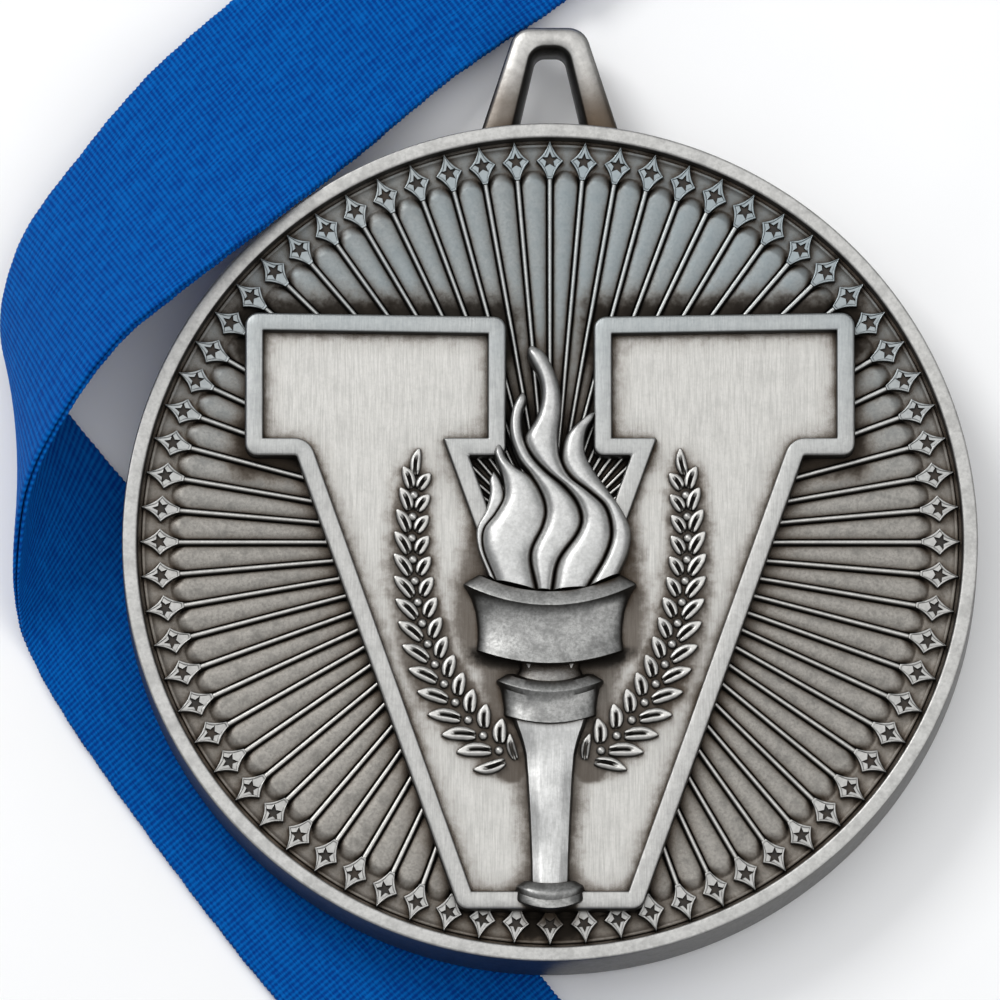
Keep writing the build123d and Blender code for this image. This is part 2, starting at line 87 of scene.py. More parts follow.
class Pile:
    """Collects several pieces of mesh into one object."""

    def __init__(self):
        self.vertices = []
        self.faces = []

    def add(self, vertices, faces):
        start = len(self.vertices)
        self.vertices.extend(np.asarray(vertices, float).reshape(-1, 3).tolist())
        self.faces.extend([tuple(start + i for i in face) for face in faces])

    def add_grid(self, grid, **wrap):
        grid = np.asarray(grid, float)
        self.add(grid, grid_faces(grid.shape[0], grid.shape[1], **wrap))

    def add_rings(self, grid, flip=False, last=True):
        """Rings joined one after the other, with a face over the first one and the last one."""
        rows, columns = np.shape(grid)[:2]
        first = np.arange(columns) + len(self.vertices)
        self.add_grid(grid, wrap_columns=True)
        step = 1 if flip else -1
        self.faces.append(tuple(first[::step].tolist()))
        if last:
            self.faces.append(tuple((first + (rows - 1) * columns)[::-step].tolist()))

    def add_relief(self, grid, base):
        """A height surface with a skirt down to its base and a floor, so that it is closed."""
        grid = np.asarray(grid, float)
        self.add_grid(grid)
        top = np.vstack([grid[0], grid[1:, -1], grid[-1, -2::-1], grid[-2:0:-1, 0]])
        low = np.column_stack([top[:, :2], np.full(len(top), base)])
        count = len(top)
        faces = [(i, count + i, count + (i + 1) % count, (i + 1) % count) for i in range(count)]
        faces.append(tuple(range(2 * count - 1, count - 1, -1)))
        self.add(np.vstack([top, low]), faces)

    def build(self, name, material, nodes, sharp, body="medal", slot="antique_silver"):
        """The pile as an object, which rides on a body and stands for the CAD nodes named."""
        mesh = bpy.data.meshes.new(name)
        mesh.from_pydata(placed(self.vertices).tolist(), [], self.faces)
        mesh.validate()
        mesh.shade_smooth()
        mesh.set_sharp_from_angle(angle=math.radians(sharp))
        mesh.materials.append(material)
        obj = bpy.data.objects.new(name, mesh)
        bpy.context.scene.collection.objects.link(obj)
        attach(obj, body)
        if nodes:
            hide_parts(*nodes)
        return obj


def spline(points, middle=None, steps=24):
    """A smooth line through points (centripetal Catmull-Rom), stepped by the spacing of middle, if given.

    Two edges that are stepped by the line between them keep pace with each other."""
    p = np.asarray(points, float)
    spacing = p if middle is None else middle
    gaps = np.sqrt(np.linalg.norm(np.diff(spacing, axis=0), axis=1))
    knots = np.cumsum([0.0, gaps[0], *gaps, gaps[-1]])
    ends = np.vstack([2 * p[0] - p[1], p, 2 * p[-1] - p[-2]])
    fine = []
    for i in range(len(p) - 1):
        a, b, c, d = ends[i:i + 4]
        k0, k1, k2, k3 = knots[i:i + 4]
        t = np.linspace(k1, k2, steps, endpoint=i == len(p) - 2)[:, None]
        ab = ((k1 - t) * a + (t - k0) * b) / (k1 - k0)
        bc = ((k2 - t) * b + (t - k1) * c) / (k2 - k1)
        cd = ((k3 - t) * c + (t - k2) * d) / (k3 - k2)
        abc = ((k2 - t) * ab + (t - k0) * bc) / (k2 - k0)
        bcd = ((k3 - t) * bc + (t - k1) * cd) / (k3 - k1)
        fine.append(((k2 - t) * abc + (t - k1) * bcd) / (k2 - k1))
    return np.vstack(fine)


def run_along(line):
    """How far along a broken line each of its points is."""
    return np.concatenate([[0], np.cumsum(np.linalg.norm(np.diff(line, axis=0), axis=1))])


def resampled(line, run, at):
    """The points of a broken line at the distances at, where run is what run_along gives."""
    return np.stack([np.interp(at, run, line[:, k]) for k in range(line.shape[1])], axis=1)


def curve(points, count):
    """count points evenly spaced along a smooth line through points."""
    line = spline(points)
    run = run_along(line)
    return resampled(line, run, np.linspace(0, run[-1], count))


def unit(vectors):
    return vectors / np.linalg.norm(vectors, axis=-1, keepdims=True)


def smooth_step(low, high, x):
    t = np.clip((np.asarray(x, float) - low) / (high - low), 0, 1)
    return t * t * (3 - 2 * t)


# ------------------------------------------------------------------ materials
class Shader:
    """A node tree with one Principled shader, and short calls for the nodes in front of it."""

    def __init__(self, name):
        self.material = bpy.data.materials.new(name)
        self.material.use_nodes = True
        self.tree = self.material.node_tree
        self.principled = self.tree.nodes["Principled BSDF"]

    def put(self, socket, value):
        """Links a node's output to a socket, or sets the socket to a plain value."""
        if isinstance(value, bpy.types.NodeSocket):
            self.tree.links.new(value, socket)
        elif socket.type == "RGBA":
            socket.default_value = (*value, 1.0)
        else:
            socket.default_value = value

    def node(self, kind, **inputs):
        """A new node with its inputs put in by name, where an underscore is a space."""
        made = self.tree.nodes.new(kind)
        for name, value in inputs.items():
            self.put(made.inputs[name.replace("_", " ")], value)
        return made

    def position(self, scale=(1, 1, 1)):
        """Object coordinates in the row frame, scaled along each axis (per metre)."""
        point = self.node("ShaderNodeTexCoord").outputs["Object"]
        return self.node("ShaderNodeMapping", Vector=point, Scale=scale).outputs["Vector"]

    def axes(self, kind="Object"):
        """X, Y and Z of the object coordinates, or of the normal."""
        vector = self.node("ShaderNodeTexCoord").outputs[kind]
        return self.node("ShaderNodeSeparateXYZ", Vector=vector).outputs

    def from_centre(self):
        """Distance from the medal's middle line, the same on both sides, and height above its centre."""
        x, y, _ = self.axes()
        aside = self.maths("ABSOLUTE", self.maths("SUBTRACT", x, CENTRE.x))
        return aside, self.maths("SUBTRACT", y, CENTRE.y)

    def noise(self, vector, scale, detail=3.0, roughness=0.5):
        made = self.node("ShaderNodeTexNoise", Vector=vector, Scale=scale, Detail=detail, Roughness=roughness)
        return made.outputs["Fac"]

    def ramp(self, value, low, high, out_low=0.0, out_high=1.0, smooth=True):
        made = self.node("ShaderNodeMapRange", Value=value, From_Min=low, From_Max=high, To_Min=out_low,
                         To_Max=out_high)
        made.interpolation_type = "SMOOTHSTEP" if smooth else "LINEAR"
        return made.outputs["Result"]

    def maths(self, operation, first, second=0.0):
        made = self.node("ShaderNodeMath")
        made.operation = operation
        self.put(made.inputs[0], first)
        self.put(made.inputs[1], second)
        return made.outputs[0]

    def mix(self, factor, first, second):
        made = self.node("ShaderNodeMix")
        made.data_type = "RGBA"
        for number, value in ((0, factor), (6, first), (7, second)):  # the RGBA sockets of a Mix node
            self.put(made.inputs[number], value)
        return made.outputs[2]

    def bump(self, height, distance, strength):
        made = self.node("ShaderNodeBump", Height=height, Distance=distance, Strength=strength)
        self.put(self.principled.inputs["Normal"], made.outputs["Normal"])

    def along(self, value, points):
        """A smooth curve through (0-1, 0-1) points."""
        made = self.node("ShaderNodeFloatCurve", Value=value)
        line = made.mapping.curves[0]
        for _ in range(len(points) - 2):
            line.points.new(0.5, 0.5)
        for point, place in zip(line.points, points):
            point.location = place
        made.mapping.update()
        return made.outputs[0]

    def occlusion(self, distance):
        """1 where the surface is open and 0 where other surfaces close it in within a distance."""
        made = self.node("ShaderNodeAmbientOcclusion", Distance=distance)
        made.samples = 6
        return made.outputs["AO"]

    def finish(self, colour, roughness, metallic):
        for name, value in (("Base Color", colour), ("Roughness", roughness), ("Metallic", metallic)):
            self.put(self.principled.inputs[name], value)
        return self.material


BRIGHT_SILVER = (0.68, 0.665, 0.635)
# the brown of the patina, and of the painted shade near walls and under parts
PATINA_AND_SHADE_BROWN = (0.098, 0.068, 0.044)
LOOP_BROWN = (0.085, 0.064, 0.046)
# the black of the patina in narrow hollows, and of the painted shade on upright sides and under parts
PATINA_AND_SHADE_BLACK = (0.012, 0.010, 0.008)
# painted shade: the darker, cooler tone laid over the top of the medal
TOP_SHADE_TINT = (0.22, 0.27, 0.295)
METAL = 0.9
PAGE_LOW, PAGE_HIGH, PAGE_HALF = -28.0, 18.0, 24.0  # heights and half width that the stain curves cover


def by_height(s, height, points, unit=PAGE_HALF):
    """A number that follows the height on the medal, through (height, number) points; none is over unit."""
    line = [((y - PAGE_LOW) / (PAGE_HIGH - PAGE_LOW), number / unit) for y, number in points]
    return s.maths("MULTIPLY", s.along(height, line), unit)


def ragged(s, blotches, size):
    """What makes an edge uneven, by size to either side."""
    return s.ramp(blotches, 0.25, 0.75, -size, size)


def patina_bands_and_bowl_shadow(s, blotches):
    """How much brown patina the V's face has beside the sprays and the torch, which beside the sprays also
    stands for the leaves' painted shadow, and how much painted black shadow lies under the bowl.
    """
    x, y = s.from_centre()
    across = s.maths("MULTIPLY", x, 1 / MM)
    height = s.ramp(y, PAGE_LOW * MM, PAGE_HIGH * MM, smooth=False)
    edge = ragged(s, blotches, 0.35)
    stem = by_height(s, height, [(-28, 0.5), (-17, 2.6), (-15, 3.6), (-12.6, 6.0), (-9.1, 8.0), (-4.7, 9.3),
                                 (0, 9.75), (3.25, 9.6), (7, 9.4), (18, 9.4)])
    stem = s.maths("ABSOLUTE", s.maths("SUBTRACT", across, stem))
    reach = by_height(s, height, [(-28, 0.0), (-18.0, 0.0), (-16.3, 1.4), (-13, 1.9), (-6, 1.5), (0, 1.15),
                                  (4, 0.8), (6.2, 0.25), (7.2, 0.0), (18, 0.0)])
    spray = s.ramp(s.maths("SUBTRACT", s.maths("ADD", stem, edge), reach), -0.35, 1.2, 1.0, 0.0)
    spray = s.maths("MULTIPLY", spray, s.ramp(reach, 0.05, 0.7))
    torch = by_height(s, height, [(-28, 1.0), (-26, 2.9), (-23, 1.6), (-16, 2.6), (-13, 4.4), (-9.5, 4.6),
                                  (-8, 6.0), (-3, 6.3), (-1, 5.8), (2, 5.2), (6, 3.6), (18, 2.0)])
    torch = s.maths("SUBTRACT", s.maths("ADD", across, edge), torch)
    # painted black shadow under the bowl, between these heights
    under = by_height(s, height, [(-28, 0), (-10.2, 0), (-9.2, 0.35), (-8.3, 1), (-7.7, 0.9), (-6.8, 0),
                                  (18, 0)], 1.0)
    black = s.maths("MULTIPLY", under, s.ramp(torch, -0.9, 0.5, 1.0, 0.0))
    darkening = s.maths("MAXIMUM", s.maths("MULTIPLY", spray, 0.92), s.ramp(torch, -0.3, 1.3, 0.78, 0.0))
    return darkening, black


def painted_contact_shadow(s, blotches, inner, outer, low, high, fade):
    """A painted shadow over a rectangle of the medal, on both sides of its middle, which fades over fade mm.
    """
    x, y = s.from_centre()
    aside = s.maths("MAXIMUM", s.maths("SUBTRACT", inner * MM, x), s.maths("SUBTRACT", x, outer * MM))
    above = s.maths("MAXIMUM", s.maths("SUBTRACT", low * MM, y), s.maths("SUBTRACT", y, high * MM))
    aside, above = s.maths("MAXIMUM", aside, 0.0), s.maths("MAXIMUM", above, 0.0)
    squares = s.maths("ADD", s.maths("MULTIPLY", aside, aside), s.maths("MULTIPLY", above, above))
    away = s.maths("SQRT", squares)
    away = s.maths("ADD", away, ragged(s, blotches, 0.15 * fade * MM))
    return s.ramp(away, 0.0, fade * MM, 1.0, 0.0)


def antique_silver(name, top=BRIGHT_SILVER, dull=0.6, brush=(500, 500), grain=0.3, wear=0.5, reach=0.8,
                   hold=0.45, soft=0.38, rough=0.40, walls=0.9, tilt=0.80, wide=0.0, bands=False, tints=(),
                   corners=()):
    """Silver plate that is bright where it was polished and brown-black where the patina was left in its
    hollows; its upright sides, the places near walls and some listed boxes are darkened too, as painted
    shade.

    top and dull are the polished colour and how much darker its blotches are; brush gives the scratches'
    spacing along X and Y (per metre) and grain their strength; wear is how blotchy the plate is; reach is
    the patina's width in mm, hold how open a place must be before it is bright, soft how gradual that is;
    walls is how black the upright and sloping sides are painted, as painted shade, and tilt how level a place
    must be to stay clear of that black; wide adds a second, wider darkening of that reach in mm, partly
    patina and partly painted shade near walls; bands adds the brown patina beside sprays and torch, which
    also stands for the leaves' shadow, and a painted black shadow under the bowl; tints are (colour, start,
    end, strength), which come in between two heights on the medal in mm, some of them painted shade, and
    corners are the boxes of painted contact shadow, each with how black it is."""
    s = Shader(name)
    scratches = s.noise(s.position((*brush, 300)), 6.0, 4.0, 0.7)
    speckle = s.noise(s.position(), 4200.0, 2.0, 0.6)
    blotches = s.noise(s.position(), 950.0, 4.0, 0.65)
    clouds = s.noise(s.position(), 110.0, 3.0, 0.5)
    low = tuple(dull * c for c in top)
    silver = s.mix(s.maths("MULTIPLY", s.ramp(scratches, 0.35, 0.68), grain), top, low)
    silver = s.mix(s.maths("MULTIPLY", s.ramp(blotches, 0.42, 0.72), wear), silver, low)
    silver = s.mix(s.maths("MULTIPLY", s.ramp(speckle, 0.45, 0.7), 0.6 * wear), silver, low)
    # a tint may be painted shade, as the darker, cooler top of the field, rays, kites and border is
    for tint, start, end, strength in tints:
        bottom, top_end = (CENTRE.y + place * MM for place in sorted((start, end)))
        shares = (0.0, 1.0) if start < end else (1.0, 0.0)
        share = s.ramp(s.axes()["Y"], bottom, top_end, *shares)
        share = s.maths("MULTIPLY", share, s.ramp(clouds, 0.30, 0.62, 0.72, 1.0))
        silver = s.mix(s.maths("MULTIPLY", share, strength), silver, tint)
    open_sky = s.maths("ADD", s.occlusion(reach * MM), ragged(s, blotches, 0.09))
    darkening = s.ramp(open_sky, hold, hold + soft, 1.0, 0.0)
    black_patina_and_shade = s.ramp(open_sky, hold - 0.34, hold + 0.06, 1.0, 0.0)
    # a wider darkening near walls: partly patina, partly painted contact shade
    if wide > 0:
        shade = s.maths("ADD", s.occlusion(wide * MM), ragged(s, blotches, 0.07))
        darkening = s.maths("MAXIMUM", darkening, s.ramp(shade, 0.50, 0.94, 1.0, 0.0))
        black_patina_and_shade = s.maths("MAXIMUM", black_patina_and_shade, s.ramp(shade, 0.30, 0.58, 1.0, 0.0))
    if bands:
        hollow, black = patina_bands_and_bowl_shadow(s, blotches)
        darkening = s.maths("MAXIMUM", darkening, hollow)
        black_patina_and_shade = s.maths("MAXIMUM", black_patina_and_shade, s.ramp(hollow, 0.45, 0.95, 0.0, 0.34))
        black_patina_and_shade = s.maths("MAXIMUM", black_patina_and_shade, black)
    # painted contact shadows in the listed boxes, brown with black towards their middle
    for *rectangle, black in corners:
        corner = painted_contact_shadow(s, blotches, *rectangle)
        darkening = s.maths("MAXIMUM", darkening, corner)
        black_patina_and_shade = s.maths("MAXIMUM", black_patina_and_shade, s.ramp(corner, 0.35, 1.0, 0.0, black))
    # painted shade: upright and sloping sides are turned black, by walls and tilt
    level = s.maths("ABSOLUTE", s.axes("Normal")["Z"])
    black_patina_and_shade = s.maths("MAXIMUM", black_patina_and_shade, s.ramp(level, tilt - 0.5, tilt, walls, 0.0))
    colour = s.mix(s.maths("MULTIPLY", darkening, s.ramp(clouds, 0.3, 0.7, 0.78, 1.0)), silver, PATINA_AND_SHADE_BROWN)
    colour = s.mix(black_patina_and_shade, colour, PATINA_AND_SHADE_BLACK)
    roughness = s.ramp(s.maths("ADD", darkening, scratches), 0.3, 1.6, rough, rough + 0.22)
    bumps = s.maths("ADD", scratches, s.maths("MULTIPLY", blotches, 0.6))
    s.bump(s.maths("ADD", bumps, s.maths("MULTIPLY", speckle, 0.5)), 0.022 * MM, 0.6)
    return s.finish(colour, roughness, METAL)


def plain_patina(name):
    """The black-brown stain that fills the small stars."""
    s = Shader(name)
    blotches = s.noise(s.position(), 900.0, 3.0, 0.6)
    colour = s.mix(s.ramp(blotches, 0.3, 0.7), PATINA_AND_SHADE_BLACK, (0.055, 0.042, 0.032))
    s.bump(blotches, 0.02 * MM, 0.6)
    return s.finish(colour, s.ramp(blotches, 0.3, 0.7, 0.5, 0.75), 0.3)


def woven_blue(name):
    """Royal blue grosgrain: cross ribs along the ribbon, fine warp threads across it."""
    s = Shader(name)
    uv = s.node("ShaderNodeUVMap")
    uv.uv_map = "ribbon"
    along, across, _ = s.node("ShaderNodeSeparateXYZ", Vector=uv.outputs["UV"]).outputs
    rib = s.maths("COSINE", s.maths("MULTIPLY", along, 2 * math.pi / RIB_PITCH))
    warp = s.maths("COSINE", s.maths("MULTIPLY", across, 2 * math.pi / WARP_PITCH))
    stretched = s.node("ShaderNodeCombineXYZ", X=s.maths("MULTIPLY", along, 0.35),
                       Y=s.maths("MULTIPLY", across, 3.0)).outputs[0]
    threads = s.noise(stretched, 2.2, 4.0, 0.6)
    weave = s.maths("ADD", s.maths("MULTIPLY", rib, 0.55), s.maths("MULTIPLY", warp, 0.08))
    weave = s.maths("ADD", weave, s.ramp(threads, 0.3, 0.7, -0.5, 0.5))
    swell = s.noise(stretched, 0.35, 2.0, 0.5)
    weave = s.maths("ADD", weave, s.ramp(swell, 0.3, 0.7, -0.12, 0.12))
    colour = s.mix(s.ramp(weave, -0.9, 0.9), (0.0, 0.040, 0.25), (0.0, 0.126, 0.48))
    s.bump(weave, 0.05 * MM, 0.8)
    for name, value in (("Sheen Weight", 0.05), ("Sheen Roughness", 0.45), ("Sheen Tint", (0.1, 0.45, 1.0)),
                        ("Specular IOR Level", 0.05)):
        s.put(s.principled.inputs[name], value)
    return s.finish(colour, 0.62, 0.0)


def nickel(name, tone=(0.70, 0.69, 0.66), rough=0.22):
    s = Shader(name)
    clouds = s.noise(s.position(), 260.0, 3.0, 0.5)
    scratches = s.noise(s.position((1500, 220, 1500)), 2.0, 3.0, 0.6)
    colour = s.mix(s.ramp(clouds, 0.35, 0.7), tone, tuple(0.82 * c for c in tone))
    # painted shade: darker where other surfaces close the metal in within 0.7 mm
    colour = s.mix(s.ramp(s.occlusion(0.7 * MM), 0.2, 0.8, 0.75, 0.0), colour, (0.06, 0.055, 0.05))
    s.bump(scratches, 0.01 * MM, 0.4)
    return s.finish(colour, s.ramp(scratches, 0.3, 0.75, rough, rough + 0.14), 1.0)


def elastic(name):
    s = Shader(name)
    ribs = s.noise(s.position((2600, 2600, 400)), 2.0, 2.0, 0.5)
    colour = s.mix(s.ramp(ribs, 0.35, 0.65), (0.012, 0.012, 0.014), (0.035, 0.035, 0.038))
    s.bump(ribs, 0.05 * MM, 0.8)
    return s.finish(colour, s.ramp(ribs, 0.3, 0.7, 0.55, 0.75), 0.0)


def thread(name):
    s = Shader(name)
    twist = s.noise(s.position((2200, 2200, 2200)), 2.0, 2.0, 0.5)
    colour = s.mix(s.ramp(twist, 0.35, 0.65), (0.004, 0.06, 0.30), (0.012, 0.15, 0.52))
    s.bump(twist, 0.04 * MM, 0.9)
    return s.finish(colour, 0.6, 0.0)


def pale_floor(name):
    s = Shader(name)
    grain = s.noise(s.position(), 60.0, 3.0, 0.5)
    colour = s.mix(s.ramp(grain, 0.3, 0.7), (0.955, 0.955, 0.96), (0.975, 0.975, 0.98))
    return s.finish(colour, 0.8, 0.0)


# ------------------------------------------------------------------ round parts
def turned(profile, segments=288):
    """A lathe: a closed profile of (radius, height) turned about the medal's centre."""
    profile = np.asarray(profile, float)
    angle = np.linspace(0, 2 * math.pi, segments, endpoint=False)
    grid = np.zeros((segments, len(profile), 3))
    grid[:, :, 0] = np.cos(angle)[:, None] * profile[None, :, 0]
    grid[:, :, 1] = np.sin(angle)[:, None] * profile[None, :, 0]
    grid[:, :, 2] = profile[None, :, 1]
    return grid


def rounded_corner(corner, start, end, radius, count=5):
    """Points of an arc that rounds the corner between two straight runs of a profile."""
    corner, start, end = (np.asarray(p, float) for p in (corner, start, end))
    a = corner + (start - corner) / np.linalg.norm(start - corner) * radius
    b = corner + (end - corner) / np.linalg.norm(end - corner) * radius
    t = np.linspace(0, 1, count)[:, None]
    return ((1 - t) ** 2 * a + 2 * t * (1 - t) * corner + t * t * b).tolist()


def make_rim(material):
    inner = RADIUS - RIM_WIDTH
    corners = [(RADIUS, 0.0), (RADIUS, RIM_TOP), (inner + 0.12, RIM_TOP), (inner, BAND - 0.12), (inner, 0.0)]
    radii = [0.3, 0.16, 0.18, 0.05, 0.25]
    profile = []
    for i, corner in enumerate(corners):
        profile += rounded_corner(corner, corners[i - 1], corners[(i + 1) % len(corners)], radii[i])
    pile = Pile()
    pile.add_grid(turned(profile), wrap_rows=True, wrap_columns=True)
    pile.build("medal_rim", material, ["rim"], 50)


def make_field(material):
    """Gently pillowed panels between the rays, rounded off between the diamonds, and the low band outside."""
    outer = RADIUS - RIM_WIDTH + 0.05
    rows = np.concatenate([np.linspace(3.2, 24.0, 20), np.linspace(24.3, 25.4, 6),
                           np.linspace(25.5, 27.2, 24),
                           [27.5, 28.0, 28.36, 28.42, 28.5, 28.56, 28.62, 28.68, outer]])
    half_across = np.array([0.25, 0.5, 0.7, 0.78, 0.82, 0.86, 0.9, 1])
    across = np.concatenate([-half_across[::-1], [0], half_across])
    half = math.pi / RAYS
    pile = Pile()
    for k in range(RAYS):
        middle = math.pi / 2 + (k + 0.5) * 2 * half
        r, t = np.meshgrid(rows, across, indexing="ij")
        room = np.clip(r * half - RAY_HALF - 0.02, 0.03, 3)
        share = room / (r * half)
        t = np.where(np.abs(t) < 1, t / 0.9 * share, t)
        u = np.clip(np.abs(t) / share, 0, 1)
        ending = 26.78 - room * 0.95 * (1 - np.sqrt(np.clip(1 - u * u, 0, 1)))
        size = smooth_step(0.05, 0.75, room)
        pillow = (0.16 + 0.24 * size) * np.sqrt(np.clip(1 - u ** 30, 0, 1)) + 0.14 * size * (1 - u * u)
        close = 0.42 + 0.58 * np.clip((ending - r) / 0.7, 0, 1) ** 0.6
        height = FIELD + 0.04 + pillow * close
        beyond = smooth_step(0.0, 0.22, r - ending)
        height = height * (1 - beyond) + BAND * beyond
        step = smooth_step(28.36, 28.42, r) - smooth_step(28.6, 28.68, r)
        height += 0.09 * step - 0.05 * (r > 28.66)
        angle = middle + t * half
        grid = np.stack([r * np.cos(angle), r * np.sin(angle), height], axis=-1)
        pile.add_grid(grid[:, ::-1])
    pile.build("fluted_field", material, ["ray_panels"], 60)


def make_rays(material):
    pile = Pile()
    radii = np.linspace(3.3, 26.6, 14)
    half_profile = [(0.5, 0.99), (0.84, 0.90), (0.96, 0.66), (1.0, 0.0)]
    profile = np.array([(-x, y) for x, y in half_profile[::-1]] + [(0.0, 1.0)] + half_profile)
    for k in range(RAYS):
        angle = math.pi / 2 + k * 2 * math.pi / RAYS
        along = np.array([math.cos(angle), math.sin(angle)])
        side = np.array([-along[1], along[0]])
        grid = np.zeros((len(radii), len(profile), 3))
        for i, r in enumerate(radii):
            half = 0.10 + (RAY_HALF - 0.10) * r / 26.5
            top = 0.42 + 0.36 * smooth_step(4, 16, r)
            grid[i, :, :2] = along * r + side * half * profile[:, :1]
            grid[i, :, 2] = FIELD + top * profile[:, 1]
        pile.add_relief(grid[:, ::-1], ROOT)
    pile.build("ray_ribs", material, ["rays"], 50)


KITE = [(1.40, 0.0), (-0.05, 0.96), (-1.35, 0.17), (-1.37, 0.0)]  # half the outline, from its outer tip


def kite_reach(angles):
    """How far the kite's outline is from the star's centre in each direction (0 points outward)."""
    outline = []
    for a, b, bow in zip(KITE, KITE[1:], (-0.13, -0.09, 0.0)):
        a, b = np.array(a), np.array(b)
        normal = unit(np.array([b[1] - a[1], a[0] - b[0]]))
        t = np.linspace(0, 1, 13)[:, None]
        outline.append(a + (b - a) * t + normal * (bow * 4 * t * (1 - t)))
    outline = np.vstack(outline)
    theta = np.arctan2(outline[:, 1], outline[:, 0])
    reach = np.hypot(outline[:, 0], outline[:, 1])
    order = np.argsort(theta)
    return np.interp(np.abs(angles), theta[order], reach[order])


def star_reach(angles, tip, waist):
    """The outline of a five-pointed star with one point outward."""
    step = math.pi / 5
    inside = np.abs((angles + step) % (2 * step) - step)
    # straight line between the tip and the waist point, in polar form
    x1, y1 = tip, 0.0
    x2, y2 = waist * math.cos(step), waist * math.sin(step)
    return (x1 * y2 - x2 * y1) / (np.cos(inside) * (y2 - y1) - np.sin(inside) * (x2 - x1))


def make_diamonds(material, darkening):
    """Kites with bevelled edges and a sunk five-pointed star."""
    corner = [math.atan2(y, x) for x, y in KITE[1:3]]
    angles = np.concatenate([np.arange(0, 60) * math.pi / 30, corner, [-c for c in corner]])
    angles = np.unique(np.round((angles + math.pi) % (2 * math.pi) - math.pi, 6))
    outer = kite_reach(angles)
    star = star_reach(angles, 0.60, 0.25)
    base, top, sunk = FIELD - 0.05, FIELD + 0.88, FIELD + 0.62
    rings = [(outer, base), (outer, top - 0.10), (outer - 0.04, top - 0.015), (outer - 0.09, top),
             (outer - 0.15, top - 0.01), (np.maximum(outer - 0.22, star + 0.04), top - 0.07),
             (star + 0.03, top - 0.06), (star, top - 0.09), (star - 0.02, sunk)]
    pile, floors = Pile(), Pile()
    centre = 27.38
    for k in range(RAYS):
        turn = math.pi / 2 + k * 2 * math.pi / RAYS
        cos, sin = math.cos(turn), math.sin(turn)
        grid = np.zeros((len(rings), len(angles), 3))
        for i, (reach, height) in enumerate(rings):
            x, y = centre + reach * np.cos(angles), reach * np.sin(angles)
            grid[i, :, 0] = x * cos - y * sin
            grid[i, :, 1] = x * sin + y * cos
            grid[i, :, 2] = height
        pile.add_rings(grid, last=False)
        grid[-1, :, 2] = sunk + 0.01
        floors.add(grid[-1], [tuple(range(len(angles)))])
    floors.build("star_floors", darkening, [], 40)
    pile.build("diamond_ring", material, ["diamond_border"], 32)


# ------------------------------------------------------------------ the V
def rounded_polygon(corners, radii, inset, count=7, sharp=()):
    """A polygon moved inward by inset, with its corners rounded; every inset gives as many points.

    Rounding grows with the inset at re-entrant corners, apart from those whose numbers are in sharp."""
    corners = np.asarray(corners, float)
    n = len(corners)
    after = np.roll(corners, -1, axis=0)
    turning = np.sign(np.sum(corners[:, 0] * after[:, 1] - after[:, 0] * corners[:, 1]))
    lines = []
    for i in range(n):
        d = unit(after[i] - corners[i])
        lines.append((corners[i] + np.array([-d[1], d[0]]) * turning * inset, d))
    points = []
    for i in range(n):
        (p, d), (q, e) = lines[i - 1], lines[i]
        cross = d[0] * e[1] - d[1] * e[0]
        corner = p + d * ((q - p)[0] * e[1] - (q - p)[1] * e[0]) / cross
        convex = cross * turning > 0
        radius = max(radii[i] - inset if convex else radii[i] + inset, 0.06)
        if i in sharp:
            radius = radii[i]
        turn = math.acos(np.clip(np.dot(d, e), -1, 1))
        reach = radius * math.tan(turn / 2)
        a = corner - d * reach
        side = np.array([-d[1], d[0]]) * np.sign(cross)
        centre = a + side * radius
        start = math.atan2(*(a - centre)[::-1])
        sweep = turn * np.sign(cross)
        for k in range(count):
            angle = start + sweep * k / (count - 1)
            points.append(centre + radius * np.array([math.cos(angle), math.sin(angle)]))
    return np.array(points)


def stacked(outlines, heights):
    """Outlines in the plane, each lifted to its height, as a grid."""
    return np.stack([np.column_stack([line, np.full(len(line), h)]) for line, h in zip(outlines, heights)])


def plate(corners, radii, profile, sharp=()):
    """Rings of a plate's edge profile of (inset, height) around an outline."""
    loops = [rounded_polygon(corners, radii, inset, sharp=sharp) for inset, _ in profile]
    return stacked(loops, [height for _, height in profile])


def v_corners():
    half = [(-5.65, 6.0), (-3.06, 6.0), (-3.06, 16.0), (-21.4, 16.3), (-21.4, 6.0), (-17.8, 6.0),
            (-6.4, -26.4)]
    radii = [0.1, 0.7, 0.9, 0.95, 0.9, 0.15, 1.0]
    corners = [(0, -9.8)] + half + [(-x, y) for x, y in reversed(half)]
    return corners, [0.2] + radii + radii[::-1]


def make_v(border_material, face_material):
    corners, radii = v_corners()
    notches = (1, len(corners) - 1)
    border = [(0.0, FIELD - 0.05), (0.0, V_TOP - 0.30), (0.03, V_TOP - 0.14), (0.10, V_TOP - 0.04),
              (0.20, V_TOP), (1.16, V_TOP), (1.22, V_TOP - 0.02), (1.27, V_TOP - 0.10), (1.30, V_TOP - 0.3),
              (1.33, V_FLOOR - 0.06), (1.35, FIELD - 0.05)]
    pile = Pile()
    pile.add_grid(plate(corners, radii, border, notches), wrap_columns=True, wrap_rows=True)
    pile.build("v_raised_border", border_material, ["v_border"], 60)
    face = [(1.31, FIELD - 0.05), (1.31, V_FLOOR - 0.01), (1.5, V_FLOOR)]
    pile = Pile()
    pile.add_rings(plate(corners, radii, face, notches))
    pile.build("v_face", face_material, ["v_panel"], 60)


